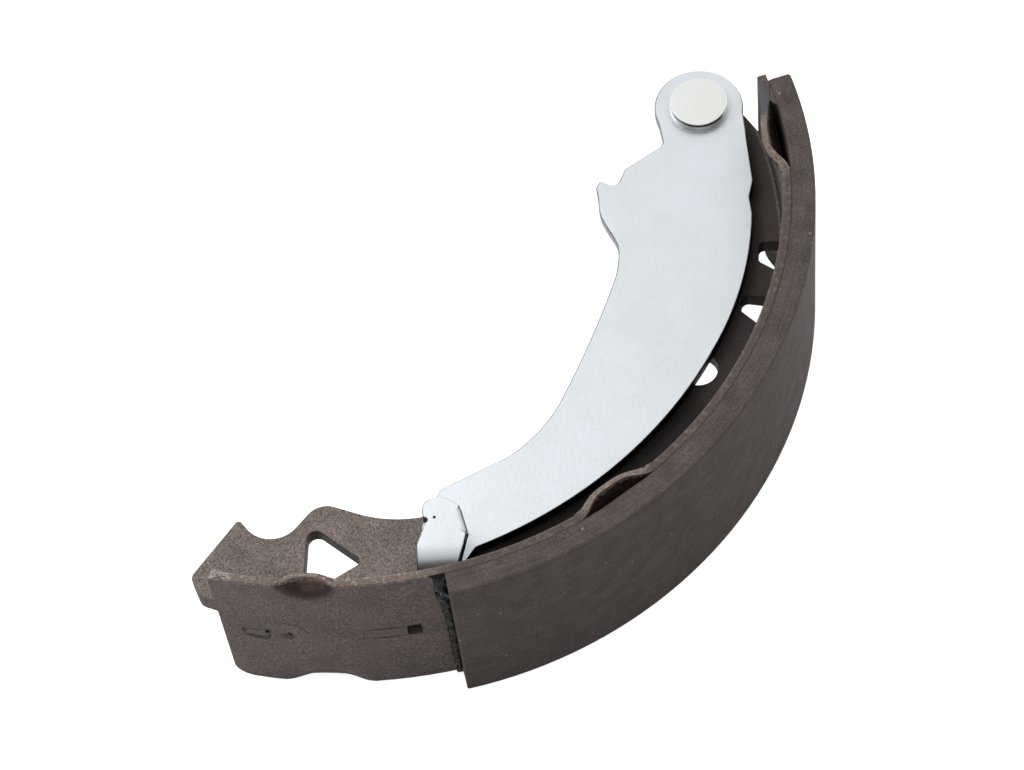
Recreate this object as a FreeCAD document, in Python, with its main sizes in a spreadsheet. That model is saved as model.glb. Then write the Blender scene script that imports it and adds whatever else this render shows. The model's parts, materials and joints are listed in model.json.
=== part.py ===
import FreeCAD, Part
import math
import operator
import os

import Sketcher
from FreeCAD import Placement, Rotation, Vector

# Drum brake shoe with its handbrake lever, in millimetres.
# The origin is on the axis of the drum that the shoe runs in, level with the rim's lower edge, which
# the shoe lies on. +Z is the drum axis and +X points about halfway to the toe end. Angles are in degrees
# about the drum axis from +X. Depths are measured from the rim's inner face towards the axis.

SIZES = [
    ("drum_radius", 100, "radius of the drum, which the lining's face is ground to"),
    ("rim_width", 46, "width of the rim and the lining along the drum axis"),
    ("rim_heel_angle", 108, "angle below +X at which the rim ends at the anchor"),
    ("rim_toe_angle", 17.5, "angle above +X at which the rim ends at the wheel cylinder"),
    ("rim_thickness", 2, "sheet of the rim"),
    ("rim_toe_overhang", 0.4, "degrees that the rim runs on past that angle"),
    ("rim_far_corner", 4.5, "corner radius of the rim's heel end, lower edge"),
    ("rim_near_corner", 1.6, "corner radius of the rim's heel end, upper edge"),
    ("rim_toe_corner", 0.4, "corner radius of the rim's toe end"),
    ("heel_opening", 15, "how much wider the bare heel stretch is bent than the rest of the rim"),
    ("lining_thickness", 5, "friction block"),
    ("lining_heel_margin", 30, "degrees of bare rim at the heel end"),
    ("lining_toe_margin", 0.7, "degrees of bare rim at the toe end"),
    ("film_thickness", 0.2, "bond between rim and lining"),
    ("film_inset", 0.4, "how far the bond stays back from the edges"),
    ("bead_width", 1.1, "bond squeezed out at the lining's heel end"),
    ("bead_height", 2.6, "how far that bead climbs up the lining's end"),
    ("bead_round", 0.8, "rounding of the bead"),
    ("dent_run_out", 1.25, "where a dent's bend has run out, in parts of its reach"),
    ("heel_dent_depth", 2.15, "dent near the heel: how far it presses the sheet's inner corner in"),
    ("heel_dent_reach", 7, "how far it reaches in from the rim's edge"),
    ("heel_dent_fullness", 1.5, "how full it is: 1 is a plain wave, and more has steeper sides"),
    ("heel_dent_angle", 12.4, "its deepest place, degrees from the rim's heel end"),
    ("heel_dent_heel_side", 4.5, "its length on the heel side, degrees"),
    ("heel_dent_toe_side", 4.5, "its length on the toe side, degrees"),
    ("heel_dent_far_stretch", 1.4, "how much longer it is at the rim's far edge"),
    ("middle_dent_depth", 3.2, "dent in the middle"),
    ("middle_dent_reach", 12, "how far it reaches in from the rim's edge"),
    ("middle_dent_fullness", 1.6, "how full it is"),
    ("middle_dent_angle", 71.3, "its deepest place, degrees back from the rim's toe end"),
    ("middle_dent_heel_side", 6.2, "its length on the heel side, degrees"),
    ("middle_dent_toe_side", 6.4, "its length on the toe side, degrees"),
    ("toe_dent_depth", 3.5, "dent near the toe"),
    ("toe_dent_reach", 12, "how far it reaches in from the rim's edge"),
    ("toe_dent_fullness", 1.2, "how full it is"),
    ("toe_dent_angle", 10.3, "its deepest place, degrees back from the rim's toe end"),
    ("toe_dent_heel_side", 5.6, "its length on the heel side, degrees"),
    ("toe_dent_toe_side", 10.4, "its length on the toe side, degrees"),
    ("web_thickness", 4, "plate of the web, centred in the rim's width"),
    ("web_heel_length", 3.9, "degrees from the rim's heel end to the web's heel corner"),
    ("web_heel_step", 1, "degrees over which the web's edge steps back past the rim's heel end"),
    ("web_heel_round", 2.4, "rounding of the heel corner"),
    ("web_neck_depth", 20.3, "inner edge under the lever's head, under the rim"),
    ("web_neck_angle", 5.5, "the same place, degrees back from the toe end"),
    ("web_toe_radius", 9.4, "rounded toe end of the web about the pivot"),
    ("web_toe_start", 21, "where that arc starts, degrees before the outward direction"),
    ("web_toe_end", 165, "where that arc ends, degrees past the outward direction"),
    ("web_inner_radius", 71.5, "arc of the web's long inner edge"),
    ("web_shoulder_radius", 28.6, "hollow arc between the inner edge and the hump"),
    ("web_scallop_radius", 6.7, "hollow between the hump and the anchor face"),
    ("tab_clearance", 0.25, "degrees between a web tab and the end of its slot"),
    ("slot_clearance", 0.1, "play of the web tabs across their slots"),
    ("heel_tab_start", 2.2, "first web tab, degrees from the rim's heel end"),
    ("heel_tab_length", 3.8, "its length, degrees"),
    ("second_tab_start", 18.4, "second web tab, degrees from the rim's heel end"),
    ("second_tab_length", 5.6, "its length, degrees"),
    ("second_slot_spare", 1.6, "open end of the second tab's slot, degrees"),
    ("hold_down_radius", 4.2, "hole for the hold-down pin"),
    ("hold_down_depth", 12.2, "its middle under the rim"),
    ("hold_down_angle", 42.3, "its middle, degrees back from the toe end"),
    ("pivot_depth", 10.7, "lever pivot under the rim's inner face"),
    ("pivot_angle", 6.5, "lever pivot, degrees past the rim's toe end"),
    ("pin_radius", 4, "shank of the pivot pin"),
    ("pin_web_clearance", 0.05, "play between the pin and the web's bore"),
    ("pin_lever_clearance", 0.08, "running play between the pin and the lever's bore"),
    ("pin_head_radius", 6.5, "head of the pivot pin"),
    ("pin_head_height", 2, "thickness of that head"),
    ("pin_head_chamfer", 0.35, "chamfer round the head"),
    ("pin_end_play", 0.05, "gap between lever and pin head"),
    ("pin_groove_radius", 3, "bottom of the clip's groove"),
    ("pin_groove_clearance", 0.05, "play of the clip in its groove"),
    ("pin_nose", 1.6, "length of pin below the groove"),
    ("pin_nose_chamfer", 0.5, "chamfer of the pin's lower end"),
    ("clip_thickness", 1, "horseshoe clip"),
    ("clip_outer_radius", 6.2, "outside of the clip"),
    ("clip_mouth", 5.2, "width of the clip's opening"),
    ("washer_gap", 1, "space between web and clip that the wave washer fills"),
    ("washer_thickness", 0.3, "sheet of the wave washer"),
    ("washer_outer_radius", 6, "outside of the wave washer"),
    ("washer_bore_clearance", 0.2, "play between washer and pin"),
    ("washer_contact_gap", 0.01, "what the waves stop short of the faces they press on"),
    ("washer_waves", 3, "number of waves"),
    ("lever_thickness", 3, "sheet of the handbrake lever"),
    ("lever_head_radius", 10.1, "head of the lever about the pivot"),
    ("lever_head_start", 34, "where the head's arc starts, degrees before the outward direction"),
    ("lever_head_end", 180.7, "where it ends, degrees past the outward direction"),
    ("lever_throat_radius", 23.7, "hollow arc below the nib"),
    ("lever_waist_radius", 258, "long flat hollow arc of the inner edge"),
    ("lever_tail_radius", 36, "hollow arc above the hook"),
    ("lever_belly_radius", 100, "lower part of the outer edge"),
    ("lever_back_radius", 80, "upper part of the outer edge"),
    ("hook_width", 9.1, "width of the folded hook"),
    ("hook_gap", 7, "inside height of the hook"),
    ("hook_rim_clearance", 1.9, "gap between the fold and the rim"),
    ("hook_overlap", 0.5, "straight sheet on each side of the fold"),
    ("section_step", 1, "spacing of the sections through a dent, degrees"),
]

# The web's corners from the shoulder to the heel: depth, degrees from the rim's heel end, rounding.
WEB_CORNERS = {
    "shoulder": (23.4, 29.0, 0),
    "slope": (26.1, 16.5, 0),
    "hump": (28.3, 9.4, 5),
    "scallop_far": (21.4, 6.2, 0),
    "scallop_near": (18.6, -1.6, 0),
    "anchor_top": (20.3, -3.9, 0.8),
    "anchor_low": (3.9, -6.5, 2),
}

# The three-cornered spring hole, measured in the same way.
SPRING_HOLE_CORNERS = {
    "spring_hole_low": (5.3, 9.8, 2.1),
    "spring_hole_side": (14.3, 18.2, 1.1),
    "spring_hole_top": (22.9, 8.2, 2.0),
}

# The two notches that relieve the web under the toe half of the rim: depth, degrees back from the
# rim's toe end to their straight side, width in degrees at the bottom and at the rim, and rounding.
NOTCHES = {
    "upper_notch": (5.4, 18.7, 3.2, 5.4, 1.4),
    "lower_notch": (8.0, 28.0, 2.6, 5.8, 1.6),
}

# The lever's inner edge from the head down, then its outer edge up again: depth, degrees back from
# the rim's toe end, rounding.
LEVER_INNER_CORNERS = {
    "neck": (22.0, -1.8, 2.5),
    "step": (32.4, 0.9, 1.5),
    "nib_foot": (35.4, 4.9, 1.6),
    "nib_tip": (38.6, 2.1, 0.7),
    "nib_back": (40.1, 3.9, 1.5),
    "throat_top": (38.6, 12.5, 0),
    "throat_low": (36.5, 30.8, 0),
    "waist_low": (32.0, 63.3, 0),
    "tail_low": (28.7, 78.3, 0),
    "tail_corner": (27.3, 92.5, 2.6),
    "hook_shoulder": (19.6, 97.3, 3),
}
LEVER_OUTER_CORNERS = {
    "belly_low": (11.3, 89.9, 1.2),
    "belly_top": (10.3, 40.0, 0),
    "dip_low": (6.4, 14.8, 0.9),
    "dip": (6.6, 11.9, 2.5),
    "dip_top": (5.1, 9.1, 2.5),
}

# The folded end of the hook: across and up from the left end of the fold line, and rounding.
HOOK_CORNERS = {
    "hook_waist": (1.7, 5.1, 0.8),
    "hook_nick": (2.4, 5.8, 0.3),
    "hook_ear": (1.2, 6.5, 0.6),
    "hook_crown_left": (0.9, 10.3, 2.6),
    "hook_crown": (5.4, 11.6, 3.5),
    "hook_crown_right": (9.2, 9.0, 3),
    "hook_hip": (10.9, 2.8, 1.2),
}

OPERATIONS = {"+": operator.add, "-": operator.sub, "*": operator.mul, "/": operator.truediv}


class Value:
    """A number with the spreadsheet formula that gives it, so that both follow one expression."""

    def __init__(self, number, formula=None):
        self.number = float(number)
        self.formula = formula or repr(float(number))

    def combined(self, sign, other):
        other = other if isinstance(other, Value) else Value(other)
        number = OPERATIONS[sign](self.number, other.number)
        return Value(number, "(%s %s %s)" % (self.formula, sign, other.formula))

    def __add__(self, other):
        return self.combined("+", other)

    def __sub__(self, other):
        return self.combined("-", other)

    def __mul__(self, other):
        return self.combined("*", other)

    def __truediv__(self, other):
        return self.combined("/", other)

    def __neg__(self):
        return Value(0).combined("-", self)


def cosine(angle):
    return Value(math.cos(math.radians(angle.number)), "cos(%s)" % angle.formula)


def sine(angle):
    return Value(math.sin(math.radians(angle.number)), "sin(%s)" % angle.formula)


def root(square):
    return Value(math.sqrt(square.number), "sqrt(%s)" % square.formula)


def around(centre, radius, angle):
    """The point at a radius and an angle about a centre."""
    return centre[0] + radius * cosine(angle), centre[1] + radius * sine(angle)


def polar(radius, angle):
    """The point at a radius and an angle about the drum axis."""
    return radius * cosine(angle), radius * sine(angle)


document = FreeCAD.newDocument("BrakeShoe")
sheet = document.addObject("Spreadsheet::Sheet", "Sizes")
size = {}


def add_size(name, number, meaning):
    """Writes one row of the sheet, and keeps the value under its name."""
    row = len(size) + 1
    sheet.set("A%d" % row, meaning)
    sheet.set("B%d" % row, str(number))
    sheet.setAlias("B%d" % row, name)
    size[name] = Value(number, "Sizes." + name)


def add_corners(corners, owner, meanings):
    """Writes the rows of an outline's corners. A sharp corner has no row for its rounding."""
    for name, numbers in corners.items():
        for meaning, number in zip(meanings, numbers):
            if meaning != "round" or number:
                add_size("%s%s_%s" % (owner, name, meaning), number, "%s of the %s" % (meaning, name))


def fill_sheet():
    for name, number, meaning in SIZES:
        add_size(name, number, meaning)
    add_corners(WEB_CORNERS, "web_", ("depth", "angle", "round"))
    add_corners(SPRING_HOLE_CORNERS, "", ("depth", "angle", "round"))
    add_corners(NOTCHES, "", ("depth", "angle", "bottom", "mouth", "round"))
    add_corners(LEVER_INNER_CORNERS, "lever_", ("depth", "angle", "round"))
    add_corners(LEVER_OUTER_CORNERS, "lever_", ("depth", "angle", "round"))
    add_corners(HOOK_CORNERS, "", ("across", "up", "round"))
    document.recompute()


fill_sheet()

heel = -size["rim_heel_angle"]
toe = size["rim_toe_angle"]
lining_inner = size["drum_radius"] - size["lining_thickness"]
rim_outer = lining_inner - size["film_thickness"]
rim_inner = rim_outer - size["rim_thickness"]
web_bottom = (size["rim_width"] - size["web_thickness"]) / 2
web_top = web_bottom + size["web_thickness"]
lever_top = web_top + size["lever_thickness"]
pin_head_bottom = lever_top + size["pin_end_play"]
pin_head_top = pin_head_bottom + size["pin_head_height"]
clip_top = web_bottom - size["washer_gap"]
clip_bottom = clip_top - size["clip_thickness"]
outward = toe + size["pivot_angle"]
pivot = polar(rim_inner - size["pivot_depth"], outward)
rim_toe = toe + size["rim_toe_overhang"]
lining_heel = heel + size["lining_heel_margin"]
lining_toe = toe - size["lining_toe_margin"]
heel_bend = rim_inner + size["heel_opening"]
heel_centre = polar(-size["heel_opening"], lining_heel)


def from_heel(name):
    """A web corner, placed by its depth and its angle from the rim's heel end."""
    return polar(rim_inner - size[name + "_depth"], heel + size[name + "_angle"])


def from_toe(name):
    """A corner placed by its depth and its angle back from the rim's toe end."""
    return polar(rim_inner - size[name + "_depth"], toe - size[name + "_angle"])


def heel_face(angle, stand_off=Value(0)):
    """A point at an angle about the drum axis, on or off the inner face of the rim's wider heel bend."""
    radius = heel_bend + stand_off
    turn = lining_heel - angle
    side = size["heel_opening"] * sine(turn)
    return polar(root(radius * radius - side * side) - size["heel_opening"] * cosine(turn), angle)


def new_body(label):
    body = document.addObject("PartDesign::Body", label)
    body.Label = label
    return body


def new_sketch(body, name, plane="XY_Plane", lift=None):
    """A sketch on one of the body's own planes, lifted along the plane's normal."""
    support = next(part for part in body.Origin.OriginFeatures if part.Role == plane)
    sketch = body.newObject("Sketcher::SketchObject", name)
    sketch.AttachmentSupport = [(support, "")]
    sketch.MapMode = "FlatFace"
    if lift is not None:
        sketch.AttachmentOffset = Placement(Vector(0, 0, lift.number), Rotation())
        sketch.setExpression("AttachmentOffset.Base.z", lift.formula)
    return sketch


def bound(sketch, constraints):
    """Adds pairs of constraint and value, and ties each value to the sheet."""
    for constraint, value in constraints:
        index = sketch.addConstraint(constraint)
        if value is not None:
            sketch.setExpression("Constraints[%d]" % index, value.formula)


def arc_between(start, end, radius):
    """The shorter arc from start to end that turns left (positive radius) or right (negative)."""
    along = end - start
    left = Vector(-along.y, along.x, 0).normalize()
    height = math.sqrt(radius ** 2 - (along.Length / 2) ** 2)
    middle = (start + end) * 0.5
    turn = 1 if radius > 0 else -1
    top = middle + left * turn * (height - abs(radius))
    return Part.Arc(start, top, end) if turn > 0 else Part.Arc(end, top, start)


def draw_loop(sketch, corners):
    """Draws a closed loop. A corner is (x, y), or (x, y, radius) where an arc leads to the next one."""
    constraints = []
    edges = []
    points = [Vector(corner[0].number, corner[1].number, 0) for corner in corners]
    for index, corner in enumerate(corners):
        start = points[index]
        end = points[(index + 1) % len(points)]
        if len(corner) == 2:
            edges.append((sketch.addGeometry(Part.LineSegment(start, end)), 1, 2))
            continue
        radius = corner[2]
        geometry = sketch.addGeometry(arc_between(start, end, radius.number))
        turns_left = radius.number > 0
        edges.append((geometry, 1, 2) if turns_left else (geometry, 2, 1))
        length = radius if turns_left else -radius
        constraints.append((Sketcher.Constraint("Radius", geometry, length.number), length))
    for index, (geometry, tail, tip) in enumerate(edges):
        x, y = corners[index][:2]
        following, following_tail, _ = edges[(index + 1) % len(edges)]
        constraints.append((Sketcher.Constraint("DistanceX", -1, 1, geometry, tail, x.number), x))
        constraints.append((Sketcher.Constraint("DistanceY", -1, 1, geometry, tail, y.number), y))
        constraints.append((Sketcher.Constraint("Coincident", geometry, tip, following, following_tail), None))
    bound(sketch, constraints)


def draw_circle(sketch, radius, centre=None):
    """Draws a circle about a point, or about the sketch's own origin."""
    point = Vector(centre[0].number, centre[1].number, 0) if centre else Vector()
    geometry = sketch.addGeometry(Part.Circle(point, Vector(0, 0, 1), radius.number))
    constraints = [(Sketcher.Constraint("Radius", geometry, radius.number), radius)]
    if centre:
        constraints.append((Sketcher.Constraint("DistanceX", -1, 1, geometry, 3, point.x), centre[0]))
        constraints.append((Sketcher.Constraint("DistanceY", -1, 1, geometry, 3, point.y), centre[1]))
    else:
        constraints.append((Sketcher.Constraint("Coincident", geometry, 3, -1, 1), None))
    bound(sketch, constraints)


def draw_sector(sketch, inner, outer, start, end):
    """Draws a stretch of a ring about the drum axis."""
    draw_loop(sketch, [
        polar(outer, start) + (outer,),
        polar(outer, end),
        polar(inner, end) + (-inner,),
        polar(inner, start),
    ])


def pad(body, name, sketch, height):
    feature = body.newObject("PartDesign::Pad", name)
    feature.Profile = sketch
    feature.setExpression("Length", height.formula)
    return feature


def pocket(body, name, sketch, depth):
    """Cuts from the sketch down into the body, and makes sure that it did."""
    before = body.Tip
    feature = body.newObject("PartDesign::Pocket", name)
    feature.Profile = sketch
    feature.setExpression("Length", depth.formula)
    document.recompute()
    if feature.Shape.Volume >= before.Shape.Volume:
        raise RuntimeError(name + " cuts nothing")
    return feature


def round_upright(body, rounds):
    """Rounds the body's upright edges at the given points, each with its own radius."""
    for name, point, radius in rounds:
        document.recompute()
        base = body.Tip
        corner = Vector(point[0].number, point[1].number, 0)
        edges = []
        for number, edge in enumerate(base.Shape.Edges, 1):
            ends = [vertex.Point for vertex in edge.Vertexes]
            flat = [Vector(end.x, end.y, 0) for end in ends]
            if len(ends) == 2 and all(end.distanceToPoint(corner) < 0.01 for end in flat):
                edges.append("Edge%d" % number)
        if not edges:
            raise RuntimeError("no edge to round at " + name)
        feature = body.newObject("PartDesign::Fillet", name + "_fillet")
        feature.Base = (base, edges)
        feature.setExpression("Radius", radius.formula)


def rounds_of(corners, owner, place):
    """The corners of an outline that are rounded, as round_upright wants them."""
    return [
        (owner + name, place(owner + name), size["%s%s_round" % (owner, name)])
        for name, numbers in corners.items()
        if numbers[-1]
    ]


def stand_at_pivot(body):
    """Places a body that was drawn about its own axis on the lever's pivot."""
    body.setExpression("Placement.Base.x", pivot[0].formula)
    body.setExpression("Placement.Base.y", pivot[1].formula)


def web_outline():
    """The web from the rim's heel end round the outside to the toe, and back along the inside."""
    toe_radius = size["web_toe_radius"]
    toe_start = outward - size["web_toe_start"]
    toe_end = outward + size["web_toe_end"]
    toe_middle = (toe_start + toe_end) / 2
    return [
        polar(rim_inner, lining_heel) + (rim_inner,),
        polar(rim_inner, toe),
        around(pivot, toe_radius, toe_start) + (toe_radius,),
        around(pivot, toe_radius, toe_middle) + (toe_radius,),
        around(pivot, toe_radius, toe_end),
        from_toe("web_neck") + (-size["web_inner_radius"],),
        from_heel("web_shoulder") + (-size["web_shoulder_radius"],),
        from_heel("web_slope"),
        from_heel("web_hump"),
        from_heel("web_scallop_far") + (-size["web_scallop_radius"],),
        from_heel("web_scallop_near"),
        from_heel("web_anchor_top"),
        from_heel("web_anchor_low"),
        web_heel_corner() + (rim_inner,),
        polar(rim_inner, heel - size["web_heel_step"]),
        heel_face(heel) + (heel_bend,),
    ]


def web_heel_corner():
    """The web's outer corner past the rim's heel end."""
    return polar(rim_inner, heel - size["web_heel_length"])


def make_web():
    """The stiffening plate with its tabs, spring hole, notches, pivot bore and hold-down hole."""
    body = new_body("shoe_web")
    outline = new_sketch(body, "web_outline", lift=web_bottom)
    draw_loop(outline, web_outline())
    pad(body, "web_plate", outline, size["web_thickness"])

    tab_root = -size["rim_thickness"] / 2
    tab_top = size["rim_thickness"]
    tabs = new_sketch(body, "web_tab_outline", lift=web_bottom)
    for name in ("heel_tab", "second_tab"):
        start = heel + size[name + "_start"]
        end = start + size[name + "_length"]
        draw_loop(tabs, [
            heel_face(start, tab_top) + (heel_bend + tab_top,),
            heel_face(end, tab_top),
            heel_face(end, tab_root) + (-(heel_bend + tab_root),),
            heel_face(start, tab_root),
        ])
    pad(body, "web_tabs", tabs, size["web_thickness"])

    holes = new_sketch(body, "web_hole_outline", lift=web_top)
    draw_loop(holes, [from_heel(name) for name in SPRING_HOLE_CORNERS])
    draw_circle(holes, size["pin_radius"] + size["pin_web_clearance"], pivot)
    draw_circle(holes, size["hold_down_radius"], from_toe("hold_down"))
    pocket(body, "web_holes", holes, size["web_thickness"])

    for name in NOTCHES:
        start = toe - size[name + "_angle"]
        bottom = rim_inner - size[name + "_depth"]
        corners = [polar(bottom, start), polar(bottom, start - size[name + "_bottom"])]
        mouth = rim_inner + size["rim_thickness"] / 2
        cut = new_sketch(body, name + "_outline", lift=web_top)
        draw_loop(cut, corners + [polar(mouth, start - size[name + "_mouth"]), polar(mouth, start)])
        pocket(body, name, cut, size["web_thickness"])
        radius = size[name + "_round"]
        round_upright(body, [(name + "_corner_%d" % number, corner, radius)
                             for number, corner in enumerate(corners)])

    round_upright(body, [("web_heel", web_heel_corner(), size["web_heel_round"])])
    round_upright(body, rounds_of(WEB_CORNERS, "web_", from_heel))
    round_upright(body, rounds_of(SPRING_HOLE_CORNERS, "", from_heel))
    return body


def dent_depth(angle, dent, edge):
    """How far an edge of the rim is pressed in at an angle: a smooth hollow that fades at both ends."""
    first, last = dent[edge]
    side = first if angle < dent["deepest"] else last
    share = min((angle - dent["deepest"]) / (side - dent["deepest"]), 1)
    return dent["depth"] * (1 + math.cos(math.pi * share ** dent["fullness"])) / 2


def dent_slope(angle, dent, edge, radius):
    """How steeply the pressed edge climbs at an angle."""
    step = size["section_step"].number / 4
    rise = dent_depth(angle + step, dent, edge) - dent_depth(angle - step, dent, edge)
    return rise / (radius * math.radians(2 * step))


def heel_turn(angle):
    """The angle about the heel bend's centre of the place on the rim at an angle about the drum axis."""
    x, y = heel_face(angle)
    return math.degrees(math.atan2((y - heel_centre[1]).number, (x - heel_centre[0]).number))


def rim_section(angle, dent, widening):
    """The rim's cross-section in a radial plane, with both edges tipped inwards by a dent."""
    reach = dent["reach"]
    run_out = reach * size["dent_run_out"].number
    inner, outer = rim_inner.number + widening, rim_outer.number + widening

    def point(radius, height):
        return Rotation(Vector(0, 0, 1), angle).multVec(Vector(radius, 0, height))

    def line(start, end):
        return Part.makeLine(point(*start), point(*end))

    def tips(edge, height, inwards):
        """The inner and outer corners of the sheet's end face, which stays square to the tipped sheet."""
        depth = dent_depth(angle, dent, edge)
        tilt = math.atan2(2 * depth, reach)
        slanted = size["rim_thickness"].number * math.hypot(1, dent_slope(angle, dent, edge, inner))
        inner_tip = (inner - depth, height + inwards * slanted * math.sin(tilt))
        return inner_tip, (inner_tip[0] + slanted * math.cos(tilt), height)

    def bend(radius, tip, height, inwards):
        """The sheet's bend from where it is plain to a corner of its tipped end face."""
        poles = ((radius, height + inwards * run_out), (radius, tip[1] + inwards * reach / 2), tip)
        curve = Part.BezierCurve()
        curve.setPoles([point(*pole) for pole in poles])
        return curve.toShape()

    width = size["rim_width"].number
    plain = (run_out, width - run_out)
    far, near = (0, 1), (width, -1)
    far_inner, far_outer = tips("far", *far)
    near_inner, near_outer = tips("near", *near)
    return Part.Wire([
        bend(inner, far_inner, *far),
        line((inner, plain[0]), (inner, plain[1])),
        bend(inner, near_inner, *near),
        line(near_inner, near_outer),
        bend(outer, near_outer, *near),
        line((outer, plain[1]), (outer, plain[0])),
        bend(outer, far_outer, *far),
        line(far_outer, far_inner),
    ])


def ring_block(inner, outer, bottom, top, start, end):
    """A block between two radii, two heights and two angles."""
    corners = ((inner, bottom), (outer, bottom), (outer, top), (inner, top), (inner, bottom))
    turn = Rotation(Vector(0, 0, 1), start)
    outline = Part.makePolygon([turn.multVec(Vector(radius, 0, height)) for radius, height in corners])
    return Part.Face(outline).revolve(Vector(), Vector(0, 0, 1), end - start)


def spaced(first, last):
    """Evenly spaced angles from the first up to, but without, the last."""
    count = max(4, round((last - first) / size["section_step"].number))
    return [first + (last - first) * step / count for step in range(count)]


def rim_run(start, end, dents, widening=0):
    """A run of the rim about one centre, plain but for its dents."""
    inner, outer = rim_inner.number + widening, rim_outer.number + widening
    width = size["rim_width"].number
    pieces = []
    for dent in dents:
        first, last = dent["far"]
        pieces.append(ring_block(inner, outer, 0, width, start, first))
        angles = spaced(first, dent["deepest"]) + spaced(dent["deepest"], last) + [last]
        pieces.append(Part.makeLoft([rim_section(angle, dent, widening) for angle in angles], True, False))
        start = last
    pieces.append(ring_block(inner, outer, 0, width, start, end))
    return pieces


def make_rim():
    """The bent sheet that carries the lining, dented at three places on both edges and slotted."""
    opening = size["heel_opening"].number
    centre = Vector(heel_centre[0].number, heel_centre[1].number, 0)

    def dent(name, deepest, turn, far_stretch=Value(1)):
        """A dent's depth, reach and fullness, and where it starts and stops at the rim's two edges."""
        heel_side, toe_side = size[name + "_heel_side"], size[name + "_toe_side"]
        traits = {trait: size[name + "_" + trait].number for trait in ("depth", "reach", "fullness")}
        traits["deepest"] = turn(deepest)
        traits["near"] = turn(deepest - heel_side), turn(deepest + toe_side)
        traits["far"] = turn(deepest - heel_side * far_stretch), turn(deepest + toe_side * far_stretch)
        return traits

    def plain_turn(angle):
        return angle.number

    heel_dent = dent("heel_dent", heel + size["heel_dent_angle"], heel_turn, size["heel_dent_far_stretch"])
    toe_dents = [dent(name, toe - size[name + "_angle"], plain_turn) for name in ("middle_dent", "toe_dent")]
    heel_pieces = rim_run(heel_turn(heel), lining_heel.number, [heel_dent], opening)
    toe_pieces = rim_run(lining_heel.number, rim_toe.number, toe_dents)

    play = size["slot_clearance"].number
    slots = []
    for name, spare in (("heel_tab", Value(0)), ("second_tab", size["second_slot_spare"])):
        start = heel + size[name + "_start"] - size["tab_clearance"]
        end = heel + size[name + "_start"] + size[name + "_length"] + size["tab_clearance"] + spare
        slots.append(ring_block(
            heel_bend.number - size["rim_thickness"].number, heel_bend.number + 2 * size["rim_thickness"].number,
            web_bottom.number - play, web_top.number + play, heel_turn(start), heel_turn(end)))
    for piece in heel_pieces + slots:
        piece.translate(centre)
    shape = toe_pieces[0].fuse(toe_pieces[1:] + heel_pieces).cut(slots)
    rim = document.addObject("Part::Feature", "shoe_rim")
    rim.Label = "shoe_rim"
    rim.Shape = round_rim_ends(shape, centre)
    return rim


def round_rim_ends(shape, centre):
    """Rounds the four corners of the rim's two ends."""
    middle_radius = (rim_inner + rim_outer).number / 2
    width = size["rim_width"].number
    toe_corner = size["rim_toe_corner"].number
    opening = size["heel_opening"].number
    corners = (
        (centre, middle_radius + opening, heel_turn(heel), 0, size["rim_far_corner"].number),
        (centre, middle_radius + opening, heel_turn(heel), width, size["rim_near_corner"].number),
        (Vector(), middle_radius, rim_toe.number, 0, toe_corner),
        (Vector(), middle_radius, rim_toe.number, width, toe_corner),
    )
    for about, radius, angle, height, rounding in corners:
        middle = about + Rotation(Vector(0, 0, 1), angle).multVec(Vector(radius, 0, height))
        edges = [edge for edge in shape.Edges if edge.CenterOfMass.distanceToPoint(middle) < 0.01]
        shape = shape.makeFillet(rounding, edges)
    return shape


def make_lining():
    """The friction block, ground to the drum."""
    body = new_body("friction_lining")
    sketch = new_sketch(body, "lining_outline")
    draw_sector(sketch, lining_inner, size["drum_radius"], lining_heel, lining_toe)
    pad(body, "lining_block", sketch, size["rim_width"])
    return body


def make_adhesive():
    """The bond film, with the bead that was squeezed out at the lining's heel end."""
    body = new_body("lining_adhesive")
    inset = size["film_inset"]
    height = size["rim_width"] - inset * 2
    sketch = new_sketch(body, "film_outline", lift=inset)
    bead_angle = size["bead_width"] / rim_outer * (180 / math.pi)
    bead_start = lining_heel - bead_angle
    bead_top = rim_outer + size["bead_height"]
    draw_loop(sketch, [
        polar(rim_outer, bead_start) + (rim_outer,),
        polar(rim_outer, lining_toe - size["lining_toe_margin"]),
        polar(lining_inner, lining_toe - size["lining_toe_margin"]) + (-lining_inner,),
        polar(lining_inner, lining_heel),
        polar(bead_top, lining_heel),
        polar(bead_top, bead_start),
    ])
    pad(body, "film", sketch, height)
    round_upright(body, [("bead", polar(bead_top, bead_start), size["bead_round"])])
    return body


def make_pin():
    """The headed pivot pin, turned, with a groove for its clip."""
    body = new_body("pivot_pin")
    axis = Value(0)
    shank = size["pin_radius"]
    groove = size["pin_groove_radius"]
    head = size["pin_head_radius"]
    edge = size["pin_head_chamfer"]
    groove_top = clip_top + size["pin_groove_clearance"]
    groove_bottom = clip_bottom - size["pin_groove_clearance"]
    end = groove_bottom - size["pin_nose"]
    nose = size["pin_nose_chamfer"]
    sketch = new_sketch(body, "pin_profile", "XZ_Plane")
    draw_loop(sketch, [
        (axis, end),
        (shank - nose, end),
        (shank, end + nose),
        (shank, groove_bottom),
        (groove, groove_bottom),
        (groove, groove_top),
        (shank, groove_top),
        (shank, pin_head_bottom),
        (head, pin_head_bottom),
        (head, pin_head_top - edge),
        (head - edge, pin_head_top),
        (axis, pin_head_top),
    ])
    turned = body.newObject("PartDesign::Revolution", "pin_turned")
    turned.Profile = sketch
    turned.ReferenceAxis = (sketch, ["V_Axis"])
    turned.Angle = 360
    stand_at_pivot(body)
    return body


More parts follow.
